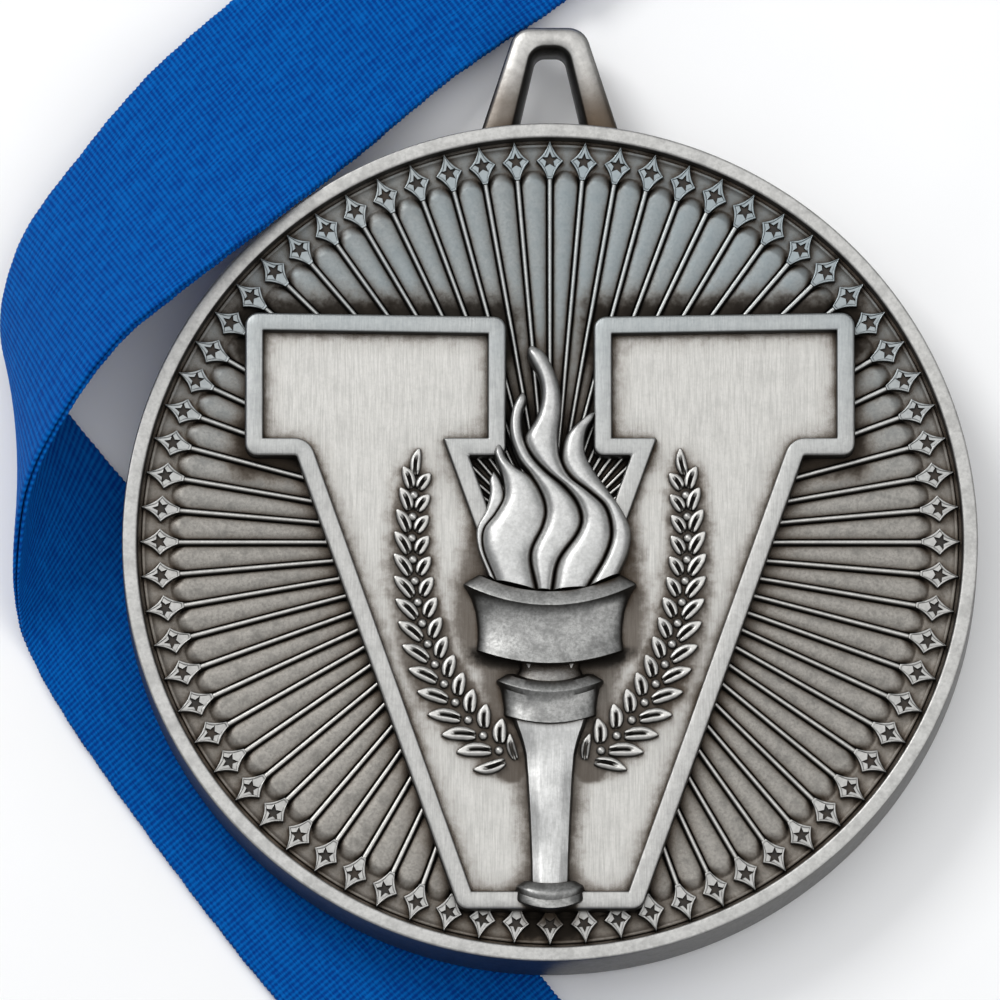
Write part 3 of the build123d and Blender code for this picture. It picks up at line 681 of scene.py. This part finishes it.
# ------------------------------------------------------------------ hanging loop
def make_loop(material):
    """A trapezoid that narrows upward, with a tall eye whose front edge is widely rounded."""
    back, front = 1.2, 4.2
    body = [(-5.2, 28.6), (5.2, 28.6), (2.4, 37.2), (-2.4, 37.2)]
    eye = [(-2.66, 28.2), (2.66, 28.2), (0.98, 35.45), (-0.98, 35.45)]
    outside = [(0.25, back), (0.0, back + 0.25), (0.0, front - 0.42), (0.10, front - 0.16), (0.36, front)]
    inside = [(-0.52, front), (-0.40, front - 0.12), (-0.06, front - 1.0), (0.0, front - 1.4),
              (0.0, back + 0.2), (-0.2, back)]
    rings = np.vstack([plate(body, [0.3, 0.3, 1.5, 1.5], outside),
                       plate(eye, [0.3, 0.3, 0.76, 0.76], inside)])
    pile = Pile()
    pile.add_grid(rings, wrap_columns=True, wrap_rows=True)
    pile.build("loop_of_medal", material, ["hanging_loop"], 50)


# ------------------------------------------------------------------ flame
# the lines between neighbouring tongues, up to where the tongues part
GAPS = [
    [(-4.7, -0.61), (-4.63, 0.68), (-3.85, 1.75), (-3.22, 2.97)],
    [(-0.91, -3.7), (-1.33, -1.11), (-0.49, 0.89), (-0.28, 1.9), (-0.49, 2.97), (-1.33, 4.47)],
    [(0.14, -3.75), (0.56, -1.68), (1.96, 0.39), (2.24, 1.32), (1.89, 2.54), (0.98, 3.69), (-0.28, 4.76),
     (-1.33, 5.98)],
    [(2.66, -3.5), (3.92, -1.25), (4.34, 0.3), (3.92, 2.18), (2.8, 3.26), (1.47, 4.33)],
]
# each tongue's left edge, right edge, tip and crest height; the edges run from the base to the tip
FLAME = [
    ([(-4.34, -2.6), (-5.05, -0.61), (-5.12, 0.75), (-4.48, 2.11), (-4.2, 3.4), (-4.22, 4.3)],
     [(-3.75, -3.1)] + GAPS[0] + [(-3.35, 3.8), (-3.6, 4.4)], (-3.95, 4.85), 6.6),
    ([(-3.85, -3.0)] + GAPS[0] + [(-3.3, 4.3), (-3.76, 5.6), (-3.9, 6.3)],
     GAPS[1] + [(-2.35, 5.1), (-3.1, 5.9), (-3.3, 6.5)], (-3.57, 6.85), 7.0),
    (GAPS[1] + [(-2.24, 5.69), (-2.8, 7.6), (-2.7, 9.1), (-2.3, 10.1)],
     GAPS[2] + [(-1.85, 7.3), (-1.95, 8.9), (-1.62, 10.1)], (-1.9, 10.55), 7.05),
    (GAPS[2] + [(-1.80, 7.1), (-1.0, 8.6), (-0.6, 10.2), (-0.8, 11.6), (-1.3, 12.6), (-1.62, 13.4)],
     GAPS[3] + [(0.75, 5.69), (0.6, 7.34), (0.8, 9.2), (0.66, 10.9), (0.1, 12.5), (-0.5, 13.45)],
     (-1.35, 13.9), 7.1),
    (GAPS[3] + [(0.86, 5.4), (0.87, 6.33), (1.2, 7.48), (2.1, 8.45), (2.9, 9.05)],
     [(4.84, -2.5), (5.5, -0.9), (5.65, 0.54), (5.2, 1.75), (4.2, 3.3), (3.05, 4.93), (2.5, 6.0), (2.42, 6.9),
      (2.6, 7.95), (3.0, 8.6)], (3.15, 9.1), 6.95),
]


def make_flame(material):
    """Each tongue is a strip between its two edges, with a soft crest and steep sides."""
    rows = 54
    across = np.concatenate([[0, 0.02, 0.06, 0.12], np.linspace(0.2, 0.8, 9), [0.88, 0.94, 0.98, 1]])
    shape = np.clip(1 - np.abs(2 * across - 1) ** 3.2, 0, 1) ** 0.55
    lean = 0.90 + 0.10 * np.cos(math.pi * (across - 0.30))
    for number, (left, right, tip, crest) in enumerate(FLAME, start=1):
        a, b = curve(left + [tip], rows), curve(right + [tip], rows)
        grid = np.zeros((rows, len(across), 3))
        for i in range(rows):
            share = i / (rows - 1)
            grid[i, :, :2] = a[i] + (b[i] - a[i]) * across[:, None]
            lift = min(1.0, np.linalg.norm(b[i] - a[i]) / 1.1) ** 0.5
            valley = 6.12 - 0.25 * share ** 3
            top = crest - 0.45 * share ** 2
            grid[i, :, 2] = valley + (top - valley) * shape * lean * lift
        pile = Pile()
        pile.add_relief(grid[:, ::-1], ROOT)
        pile.build(f"flame_{number}", material, [f"flame_tongue_{number}"], 70)


# ------------------------------------------------------------------ torch
def torch_piece(name, node, material, stations):
    """A half-round surface through stations of (half width, height on the page, bow, front, side)."""
    across = np.sin(np.linspace(-math.pi / 2, math.pi / 2, 41))
    power = 2.3
    grid = np.zeros((len(stations), len(across), 3))
    for i, (half, y, bow, front, side) in enumerate(stations):
        grid[i, :, 0] = half * across
        grid[i, :, 1] = y - bow * (1 - across ** 2) ** 0.9
        grid[i, :, 2] = side + (front - side) * (1 - np.abs(across) ** power) ** (1 / power)
    pile = Pile()
    pile.add_relief(grid, TORCH_ROOT)
    pile.build(name, material, [node], 28)


def make_shaft(material):
    """Flat front and chamfered sides; it is flared where it meets the collar."""
    down = (12.3, 13.2, 14.2, 15.2, 17.0, 20.0, 22.8, 25.0)
    widths = (2.75, 2.50, 2.10, 1.82, 1.66, 1.48, 1.36, 1.32)
    half_facets = [(0.40, 1.0), (0.50, 0.975), (0.60, 0.92), (0.90, 0.72), (0.97, 0.45), (1.0, 0.0)]
    facets = [(-u, v) for u, v in half_facets[::-1]] + half_facets
    side = 5.3
    rows = []
    for y in np.linspace(-down[0], -down[-1], 26):
        half = np.interp(-y, down, widths)
        front = 6.32 + 0.14 * math.cos(y)
        rows.append([(half * u, y, side + (front - side) * v) for u, v in facets])
    pile = Pile()
    pile.add_relief(rows, TORCH_ROOT)
    pile.build("shaft_of_torch", material, ["torch_shaft"], 28)


def make_torch(material, shaft_material):
    torch_piece("bowl_of_torch", "torch_bowl", material, [
        (4.75, -2.45, 1.10, 6.1, 5.4), (5.05, -2.50, 1.42, 6.85, 5.6), (5.35, -2.72, 1.50, 6.98, 5.7),
        (5.98, -3.10, 1.72, 7.26, 5.8), (6.06, -3.20, 1.76, 7.28, 5.8), (6.02, -3.30, 1.74, 7.20, 5.7),
        (5.80, -3.60, 1.62, 6.98, 5.5), (5.50, -4.20, 1.46, 6.78, 5.4), (5.22, -5.10, 1.36, 6.66, 5.4),
        (5.08, -6.10, 1.30, 6.66, 5.4), (5.06, -7.00, 1.24, 6.80, 5.4), (5.14, -7.72, 1.20, 7.02, 5.5),
        (5.15, -7.86, 1.19, 7.04, 5.5), (5.08, -7.92, 1.18, 6.96, 5.4), (4.80, -7.90, 1.10, 5.9, 4.9),
        (4.40, -7.80, 1.00, 4.3, 4.2)])
    torch_piece("neck_of_torch", "torch_neck", material, [
        (2.30, -8.1, 0.35, 6.0, 5.2), (2.12, -8.6, 0.40, 6.15, 5.2), (2.10, -9.1, 0.44, 6.25, 5.2),
        (2.30, -9.55, 0.46, 6.3, 5.3), (2.62, -9.95, 0.46, 6.35, 5.4), (2.75, -10.3, 0.45, 6.2, 5.2)])
    torch_piece("collar_of_torch", "torch_collar", material, [
        (2.70, -9.50, 0.55, 6.1, 5.4), (3.05, -9.60, 0.80, 6.62, 5.6), (3.68, -10.00, 0.98, 6.95, 5.7),
        (3.76, -10.08, 1.02, 6.98, 5.7), (3.72, -10.20, 1.02, 6.92, 5.6), (3.50, -10.50, 0.98, 6.72, 5.5),
        (3.36, -11.10, 0.90, 6.62, 5.4), (3.26, -11.80, 0.84, 6.66, 5.4), (3.24, -12.40, 0.78, 6.82, 5.5),
        (3.22, -12.50, 0.77, 6.83, 5.5), (3.14, -12.56, 0.76, 6.72, 5.4), (2.9, -12.54, 0.7, 5.8, 4.9),
        (2.60, -12.50, 0.62, 4.3, 4.2)])
    make_shaft(shaft_material)
    torch_piece("foot_of_torch", "torch_foot", material, [
        (1.60, -24.30, 0.20, 6.0, 5.4), (1.80, -24.36, 0.34, 6.60, 5.6), (2.30, -24.70, 0.62, 7.08, 5.8),
        (2.38, -24.84, 0.70, 7.14, 5.8), (2.36, -24.96, 0.74, 7.12, 5.8), (2.30, -25.20, 0.76, 6.98, 5.7),
        (2.34, -25.60, 0.78, 7.04, 5.7), (2.34, -25.74, 0.78, 7.02, 5.6), (2.26, -25.84, 0.76, 6.90, 5.5),
        (2.05, -25.86, 0.70, 5.8, 4.9), (1.85, -25.84, 0.64, 4.3, 4.2)])


# ------------------------------------------------------------------ laurels
STEM = [(-9.53, 3.25), (-9.67, 0.0), (-9.2, -4.7), (-7.95, -9.1), (-5.9, -12.6), (-3.57, -15.0)]
LAUREL_STATIONS = 14
STALK = 0.52  # from the stem to where a leaf starts
LEAF_OUTLINE = ((0, 0.08, 0.25, 0.5, 0.72, 0.9, 1), (0.5, 0.74, 0.96, 1, 0.82, 0.42, 0.04))


def leaf(pile, start, angle, length, width, base, mirror):
    """A pointed leaf with a raised flat edge and a dark slot that is open towards its base."""
    along = np.concatenate([[0, 0.02, 0.06], np.linspace(0.12, 0.88, 12), [0.94, 0.98, 1]])
    across = np.array([-1, -0.93, -0.8, -0.5, -0.34, -0.2, 0, 0.2, 0.34, 0.5, 0.8, 0.93, 1])
    grid = np.zeros((len(along), len(across), 3))
    cos, sin = math.cos(angle), math.sin(angle)
    for i, s in enumerate(along):
        half = width / 2 * np.interp(s, *LEAF_OUTLINE)
        slot = 0.36 * (1 - smooth_step(0.58, 0.70, s))
        bend = 0.06 * length * math.sin(math.pi * s)
        x, y = s * length, half * across + bend * mirror
        ends = min(1.0, (1 - s) / 0.05 + 0.45, s / 0.03 + 0.45)
        rise = 0.44 * ends * np.clip(1 - np.abs(across) ** 6, 0, 1) ** 0.5
        rise = rise - slot * np.exp(-(across * half / 0.10) ** 4)
        grid[i, :, 0] = start[0] + x * cos - y * sin
        grid[i, :, 1] = start[1] + x * sin + y * cos
        grid[i, :, 2] = base + np.clip(rise, 0.03, 1)
    pile.add_relief(grid[:, ::-1], base - 0.12)


def ball(pile, centre, radius, rings=7, segments=14):
    polar = np.linspace(0.0, math.pi, rings)
    angle = np.linspace(0, 2 * math.pi, segments, endpoint=False)
    grid = np.zeros((rings, segments, 3))
    for i, p in enumerate(polar):
        flat = max(math.sin(p), 0.02)
        grid[i, :, 0] = centre[0] + radius * flat * np.cos(angle)
        grid[i, :, 1] = centre[1] + radius * flat * np.sin(angle)
        grid[i, :, 2] = centre[2] - radius * math.cos(p)
    pile.add_rings(grid)


def make_laurel(side, word, material):
    """One spray: a berry, an outer leaf and an inner leaf at every station, and a leaf at each end."""
    base = V_FLOOR
    mirror = np.array([side, 1])
    stem = curve(STEM, LAUREL_STATIONS)
    ahead = np.gradient(stem, axis=0)
    leaves, berries = Pile(), Pile()
    for i in range(LAUREL_STATIONS):
        share = i / (LAUREL_STATIONS - 1)
        point = stem[i] * mirror
        up = -ahead[i] * mirror
        heading = math.atan2(up[1], up[0])
        ball(berries, (point[0], point[1], base + 0.07), 0.34)
        spread_out, reach_out = math.radians(24 + 23 * share), 2.2 + 0.8 * share
        spread_in, reach_in = math.radians(34 + 18 * share), 1.95 + 0.35 * share
        for turn, spread, reach in ((side, spread_out, reach_out), (-side, spread_in, reach_in)):
            angle = heading + turn * spread
            start = point + STALK * np.array([math.cos(angle), math.sin(angle)])
            leaf(leaves, start, angle, reach - STALK, 0.95 + 0.14 * share, base, -turn)
        if i == 0:
            leaf(leaves, point + mirror * (0.08, 1.45), heading - side * 0.1, 1.95, 0.84, base, 1)
    for place, turn, length, width in (((0.45, -0.80), 105, 2.35, 0.95), ((1.15, -0.65), 12, 1.9, 0.70)):
        start = (stem[-1] + place) * mirror
        leaf(leaves, start, math.radians(90 + side * turn), length, width, base, 1)
    leaves.build(f"leaves_{word}", material, [f"laurel_leaves_{word}"], 60)
    berries.build(f"berries_{word}", material, [f"laurel_berries_{word}"], 60)


# ------------------------------------------------------------------ ribbon
RIBBON_WIDTH = 15.4
LAYER, LAYER_GAP = 0.36, 0.06
STACK = 0.8
EDGE_A = [(-8.89, 51.59, 1.6), (-15.4, 45.8, 2.0), (-22.4, 39.5, 2.6), (-28.2, 34.0, 3.2), (-33.1, 28.0, 3.2),
          (-36.9, 22.5, 2.8), (-38.4, 16.8, 1.9), (-37.6, 13.5, 1.1), (-34.9, 11.2, 0.6), (-30.1, 5.6, 0.4),
          (-28.4, 3.6, 0.4), (-23.5, -2.4, 0.4), (-10.5, -18.0, 0.4), (0.8, -31.7, 0.4)]
EDGE_B = [(0.79, 39.61, 1.6), (-6.7, 34.1, 3.0), (-13.8, 27.6, 5.4), (-20.0, 22.2, 8.0), (-25.9, 17.2, 10.0),
          (-30.5, 13.0, 11.0), (-34.6, 7.2, 10.6), (-36.6, 3.1, 8.8), (-37.4, -1.5, 5.0), (-37.1, -5.2, 1.4),
          (-36.4, -7.0, 0.5), (-33.6, -12.0, 0.4), (-22.0, -28.1, 0.4), (-10.7, -41.6, 0.4)]
CLIP_ANGLE, CLIP_ORIGIN, CLIP_Z = math.radians(38.9), (-4.05, 45.6), 2.0
HANK_ANGLE, HANK_ORIGIN = math.radians(-50.3), (-3.03, -38.96)
HANK_LENGTH, HANK_RUNS, HANK_STEP = 36.5, 7, 1.03
BAR_X = 12.2             # the clip ring's bar, which the sewn end goes round
BAND_X, BAND_HALF = 19.0, 2.0
ROWS_PER_RIB = 3


def local(origin, angle, x, y, z):
    """A point of a frame that points along the ribbon, in millimetres above the table."""
    cos, sin = math.cos(angle), math.sin(angle)
    return (origin[0] + x * cos - y * sin, origin[1] + x * sin + y * cos, z)


def both_sides(origin, angle, line):
    """A line of (along, height) points on the ribbon's two edges."""
    half = RIBBON_WIDTH / 2
    return [[local(origin, angle, x, side, z) for x, z in line] for side in (half, -half)]


def sewn_end():
    """Round the bar of the clip ring and back."""
    out = [(x, CLIP_Z + STACK / 2) for x in (1.0, 4, 8, 11)]
    angles = np.linspace(0.25, math.pi - 0.25, 9)
    turn = [(BAR_X + 1.2 * math.sin(a), CLIP_Z + 1.2 * math.cos(a)) for a in angles]
    back = [(x, CLIP_Z - STACK / 2) for x in (11, 8, 4, 1.5)]
    return out + turn + back


def hank():
    """Runs to and fro on each other, no two folds alike."""
    near, far, low = 1.2, HANK_LENGTH - 1.2, 0.4
    line = [(-1.0, low)]
    for run in range(HANK_RUNS):
        z = low + run * HANK_STEP
        start, end, out = (near, far, 1) if run % 2 == 0 else (far, near, -1)
        swell = 0.10 * math.sin(run * 2.4)
        line += [(x, z + swell * math.sin(math.pi * k / 8)) for k, x in enumerate(np.linspace(start, end, 9))]
        if run < HANK_RUNS - 1:
            reach = 0.9 + 0.5 * abs(math.sin(run * 1.7))
            line += [(end + out * reach * math.sin(a), z + HANK_STEP * (1 - math.cos(a)) / 2)
                     for a in (0.5, 1.0, math.pi / 2, math.pi - 1.0, math.pi - 0.5)]
    return line


def ribbon_lines():
    """Both edges of the doubled ribbon's middle surface, and how far along it each of their points is."""
    starts = both_sides(CLIP_ORIGIN, CLIP_ANGLE, sewn_end())
    ends = both_sides(HANK_ORIGIN, HANK_ANGLE, hank())
    edges = [np.array(start + edge + end) for start, edge, end in zip(starts, (EDGE_A, EDGE_B), ends)]
    middle = (edges[0] + edges[1]) / 2
    fine_a, fine_b = (spline(edge, middle, 30) for edge in edges)
    run = run_along((fine_a + fine_b) / 2)
    at = np.linspace(0, run[-1], int(run[-1] / RIB_PITCH * ROWS_PER_RIB))
    return resampled(fine_a, run, at), resampled(fine_b, run, at), at


def make_ribbon(material):
    """Both halves of the neck ribbon, woven flat and laid on each other, with cross ribs and looped edges."""
    edge_a, edge_b, at = ribbon_lines()
    phase = 2 * math.pi * at / RIB_PITCH
    scallop = 0.045 * np.cos(phase) + 0.03 * np.sin(at * 2.1) * np.sin(at * 0.83)
    side = unit(edge_b - edge_a)
    normal = unit(np.cross(side, unit(np.gradient((edge_a + edge_b) / 2, axis=0))))
    across = np.array([0.0, 0.012, 0.035, 0.35, 0.65, 0.965, 0.988, 1.0])
    section = [(t, 1) for t in across] + [(t, -1) for t in across[::-1]]
    pile = Pile()
    for layer in (-1, 1):
        rings = []
        for t, up in section:
            edge = 1 - min(1.0, min(t, 1 - t) / 0.03)
            thick = LAYER / 2 * (1 - 0.55 * edge ** 2) + 0.022 * np.cos(phase) * (1 - edge)
            offset = layer * (LAYER / 2 + LAYER_GAP / 2) + up * thick
            spot = edge_a + (edge_b - edge_a) * t + side * ((2 * t - 1) * scallop * edge)[:, None]
            rings.append(spot + normal * offset[:, None])
        pile.add_rings(np.stack(rings, axis=1) + [0, 0, TABLE], flip=True)
    nodes = ["ribbon_upper_run", "ribbon_fold", "ribbon_lower_run", "ribbon_hank", "ribbon_sewn_end"]
    obj = pile.build("neck_ribbon", material, nodes, 180, "ribbon", "ribbon_blue")
    places = np.meshgrid(at, [t * RIBBON_WIDTH for t, _ in section], indexing="ij")
    places = np.tile(np.stack(places, axis=-1).reshape(-1, 2), (2, 1))
    loops = np.zeros(len(obj.data.loops), np.int32)
    obj.data.loops.foreach_get("vertex_index", loops)
    uv = obj.data.uv_layers.new(name="ribbon")
    uv.data.foreach_set("uv", places[loops].astype(np.float32).ravel())


def tube(pile, points, radius, segments=8):
    """A round thread along a broken line, with closed ends."""
    points = np.asarray(points, float)
    ahead = unit(np.gradient(points, axis=0))
    side = unit(np.cross(ahead, (0, 0, 1)))
    top = np.cross(side, ahead)
    angle = np.linspace(0, 2 * math.pi, segments, endpoint=False)[:, None]
    thick = radius * np.clip(np.sin(math.pi * np.linspace(0, 1, len(points))), 0.25, 1) ** 0.4
    ring = side[:, None] * np.cos(angle) + top[:, None] * np.sin(angle)
    pile.add_rings(points[:, None] + thick[:, None, None] * ring, flip=True)


def make_stitches(material):
    """Two cross rows of stitches that hold the turned-back ends."""
    pile = Pile()
    top = TABLE + CLIP_Z + STACK + 0.02
    first, pitch, length, sag = -6.4, 1.6, 1.1, 0.12
    for row in (2.0, 8.6):
        for i in range(9):
            middle = first + pitch * i
            line = [local(CLIP_ORIGIN, CLIP_ANGLE, row, middle + length / 2 * s, top - sag * s * s)
                    for s in np.linspace(-1, 1, 7)]
            tube(pile, line, 0.13)
    pile.build("stitches", material, ["end_stitches"], 60, "ribbon", "thread_blue")


def make_band(material):
    """The elastic band round the hank, rounded at its corners and a little domed."""
    thick, clear = 0.36, 0.18
    half_y, low, high = RIBBON_WIDTH / 2 + clear, 0.2, STACK + 6.4 + clear
    corners = [(-half_y, low), (half_y, low), (half_y, high), (-half_y, high)]
    xs = np.linspace(-BAND_HALF, BAND_HALF, 9)
    outside = [(x, -0.16 * (1 - (x / BAND_HALF) ** 2)) for x in xs]
    inside = [(x, thick) for x in xs[::-1]]
    grid = []
    for x, inset in outside + inside:
        ring = rounded_polygon(corners, [0.5] * 4, inset, 8)
        grid.append([local(HANK_ORIGIN, HANK_ANGLE, BAND_X + x, y, max(z, 0.0) + TABLE) for y, z in ring])
    pile = Pile()
    pile.add_grid(np.array(grid), wrap_rows=True, wrap_columns=True)
    pile.build("elastic_band", material, ["hank_band"], 50, "ribbon", "band_black")


# ------------------------------------------------------------------ stage
def make_floor():
    size = 3.0
    mesh = bpy.data.meshes.new("floor")
    corners = [(-size, -size, TABLE_Z), (size, -size, TABLE_Z), (size, size, TABLE_Z), (-size, size, TABLE_Z)]
    mesh.from_pydata(corners, [], [(0, 1, 2, 3)])
    mesh.materials.append(pale_floor("floor_paper"))
    floor = bpy.data.objects.new("floor", mesh)
    bpy.context.scene.collection.objects.link(floor)


def softbox(name, place, target, size, power, tint=(1, 1, 1)):
    data = bpy.data.lights.new(name, "AREA")
    data.shape = "RECTANGLE"
    data.size, data.size_y = size
    data.energy = power
    data.color = tint
    lamp = bpy.data.objects.new(name, data)
    lamp.location = place
    lamp.rotation_euler = (Vector(target) - Vector(place)).to_track_quat("-Z", "Y").to_euler()
    bpy.context.scene.collection.objects.link(lamp)


def make_lights():
    world = bpy.data.worlds.new("studio")
    bpy.context.scene.world = world
    world.use_nodes = True
    tree = world.node_tree
    background = tree.nodes["Background"]
    coords = tree.nodes.new("ShaderNodeTexCoord")
    split = tree.nodes.new("ShaderNodeSeparateXYZ")
    tree.links.new(coords.outputs["Generated"], split.inputs[0])
    ramp = tree.nodes.new("ShaderNodeMapRange")  # darker at the horizon than overhead
    ramp.inputs["To Min"].default_value = 0.16
    ramp.inputs["To Max"].default_value = 0.60
    tree.links.new(split.outputs["Z"], ramp.inputs["Value"])
    tree.links.new(ramp.outputs["Result"], background.inputs["Strength"])
    background.inputs["Color"].default_value = (0.97, 0.985, 1.0, 1.0)
    x, y, z = CENTRE.x, CENTRE.y, BACK
    softbox("overhead", (x + 0.04, y + 0.12, z + 0.62), (x, y, z), (0.80, 0.52), 1.35)
    softbox("key", (x - 0.32, y + 0.36, z + 0.44), (x, y, z), (0.24, 0.24), 1.7)
    softbox("fill", (x + 0.40, y - 0.20, z + 0.36), (x, y, z), (0.25, 0.35), 0.45)


def make_camera():
    """Looks down on the medal from in front, with a long lens; the medal sits right of centre."""
    data = bpy.data.cameras.new("camera")
    data.lens = 1200.0
    data.sensor_width = 36.0
    camera = bpy.data.objects.new("camera", data)
    bpy.context.scene.collection.objects.link(camera)
    elevation = math.radians(78.2)
    across = 70.1 * MM
    distance = across / 2 / math.tan(math.atan(data.sensor_width / 2 / data.lens))
    target = Vector((CENTRE.x - 3.5 * MM, CENTRE.y + 2.93 * MM, BACK + RIM_TOP * MM))
    back = Vector((0, -math.cos(elevation), math.sin(elevation)))
    camera.location = target + back * distance
    camera.rotation_euler = (-back).to_track_quat("-Z", "Y").to_euler()
    data.clip_start, data.clip_end = 0.05, 20.0
    bpy.context.scene.camera = camera


def make_medal():
    top_shade = (TOP_SHADE_TINT, -1, 22)  # painted shade: darker and cooler towards the top, for the darker surround that the metal reflects there
    rim = antique_silver("silver_rim", (0.47, 0.465, 0.45), brush=(500, 500), wear=0.65, reach=0.5, hold=0.26,
                         walls=0.72)
    make_rim(rim)
    # painted contact shadows: above the V's top edge, under the V's outer feet and under the torch's foot
    field = antique_silver("silver_field", (0.315, 0.30, 0.275), 0.45, brush=(800, 800), grain=0.35, wear=0.7,
                           reach=0.30, hold=0.24, rough=0.46, walls=0.55, wide=2.8, tints=[(*top_shade, 0.66)],
                           corners=[(3.4, 21.2, 14.0, 16.4, 2.6, 0.9), (17.6, 21.4, 5.6, 8.0, 2.0, 0.7),
                                    (0.0, 1.6, -27.8, -26.0, 1.3, 0.9)])
    make_field(field)
    rays = antique_silver("silver_rays", (0.56, 0.55, 0.525), brush=(800, 800), wear=0.4, reach=0.25,
                          hold=0.12, walls=0.75, tints=[(*top_shade, 0.45)])
    make_rays(rays)
    # painted shadow under the torch's foot
    kites = antique_silver("silver_kites", (0.43, 0.425, 0.41), brush=(600, 600), reach=0.3, hold=0.24,
                           tints=[(*top_shade, 0.75)], corners=[(0.0, 1.0, -26.7, -26.0, 1.5, 0.5)])
    make_diamonds(kites, plain_patina("star_patina"))
    # painted shadow under the torch's foot
    border = antique_silver("silver_border", (0.47, 0.465, 0.45), brush=(1500, 90), grain=0.5, wear=0.45,
                            reach=0.5, hold=0.26, tints=[(*top_shade, 0.55)],
                            corners=[(0.0, 1.5, -27.4, -26.0, 0.9, 0.9)])
    # bands: brown patina beside sprays and torch, partly the leaves' painted shadow, and a painted black
    # shadow under the bowl
    face = antique_silver("silver_face", (0.53, 0.52, 0.495), brush=(1500, 70), grain=0.5, wear=0.25,
                          reach=1.6, hold=0.62, soft=0.32, rough=0.42, bands=True)
    make_v(border, face)
    # painted shade: the loop's upright and sloping sides are turned black
    loop = antique_silver("silver_loop", (0.52, 0.51, 0.49), brush=(300, 300), reach=1.4, hold=0.42,
                          walls=1.0, tilt=0.9, tints=[(LOOP_BROWN, 35.6, 31.4, 1.0)])
    make_loop(loop)
    flame = antique_silver("silver_flame", (0.57, 0.57, 0.56), 0.62, brush=(700, 700), grain=0.4, wear=0.55,
                           reach=0.6, hold=0.30, tilt=0.66)
    make_flame(flame)
    # painted shade: nearly every sloping side turned black, and darker near walls, under the bowl and the
    # foot
    torch = antique_silver("silver_torch", (0.40, 0.40, 0.39), 0.42, brush=(700, 700), grain=0.5, wear=0.8,
                           reach=0.9, hold=0.46, rough=0.42, walls=0.95, tilt=0.98, wide=1.8)
    shaft = antique_silver("silver_shaft", (0.60, 0.60, 0.59), brush=(1400, 120), grain=0.5, wear=0.55,
                           hold=0.42, rough=0.42)
    make_torch(torch, shaft)
    spray = antique_silver("silver_leaves", (0.62, 0.61, 0.585), brush=(600, 600), reach=0.22, hold=0.24)
    make_laurel(1, "left", spray)
    make_laurel(-1, "right", spray)


def finish_cad_nodes():
    """The nodes whose CAD shape is right get a better material."""
    steel = (0.45, 0.45, 0.46)
    looks = {
        "blank": antique_silver("silver_back", brush=(300, 300), reach=0.9, hold=0.40),
        "clip_ring": nickel("nickel_ring"),
        "swivel_post": nickel("nickel_post"),
        "hook_body": nickel("nickel_hook"),
        "hook_gate": nickel("nickel_gate", rough=0.28),
        "gate_pin": nickel("steel_pin", steel, 0.3),
        "gate_spring": nickel("steel_spring", (0.5, 0.5, 0.5), 0.25),
    }
    for node, material in looks.items():
        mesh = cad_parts[node].data
        mesh.materials.clear()
        mesh.materials.append(material)


def main():
    bpy.context.scene.view_settings.view_transform = "Standard"
    make_medal()
    make_ribbon(woven_blue("grosgrain"))
    make_stitches(thread("sewing_thread"))
    make_band(elastic("elastic"))
    finish_cad_nodes()
    make_floor()
    make_lights()
    make_camera()


main()
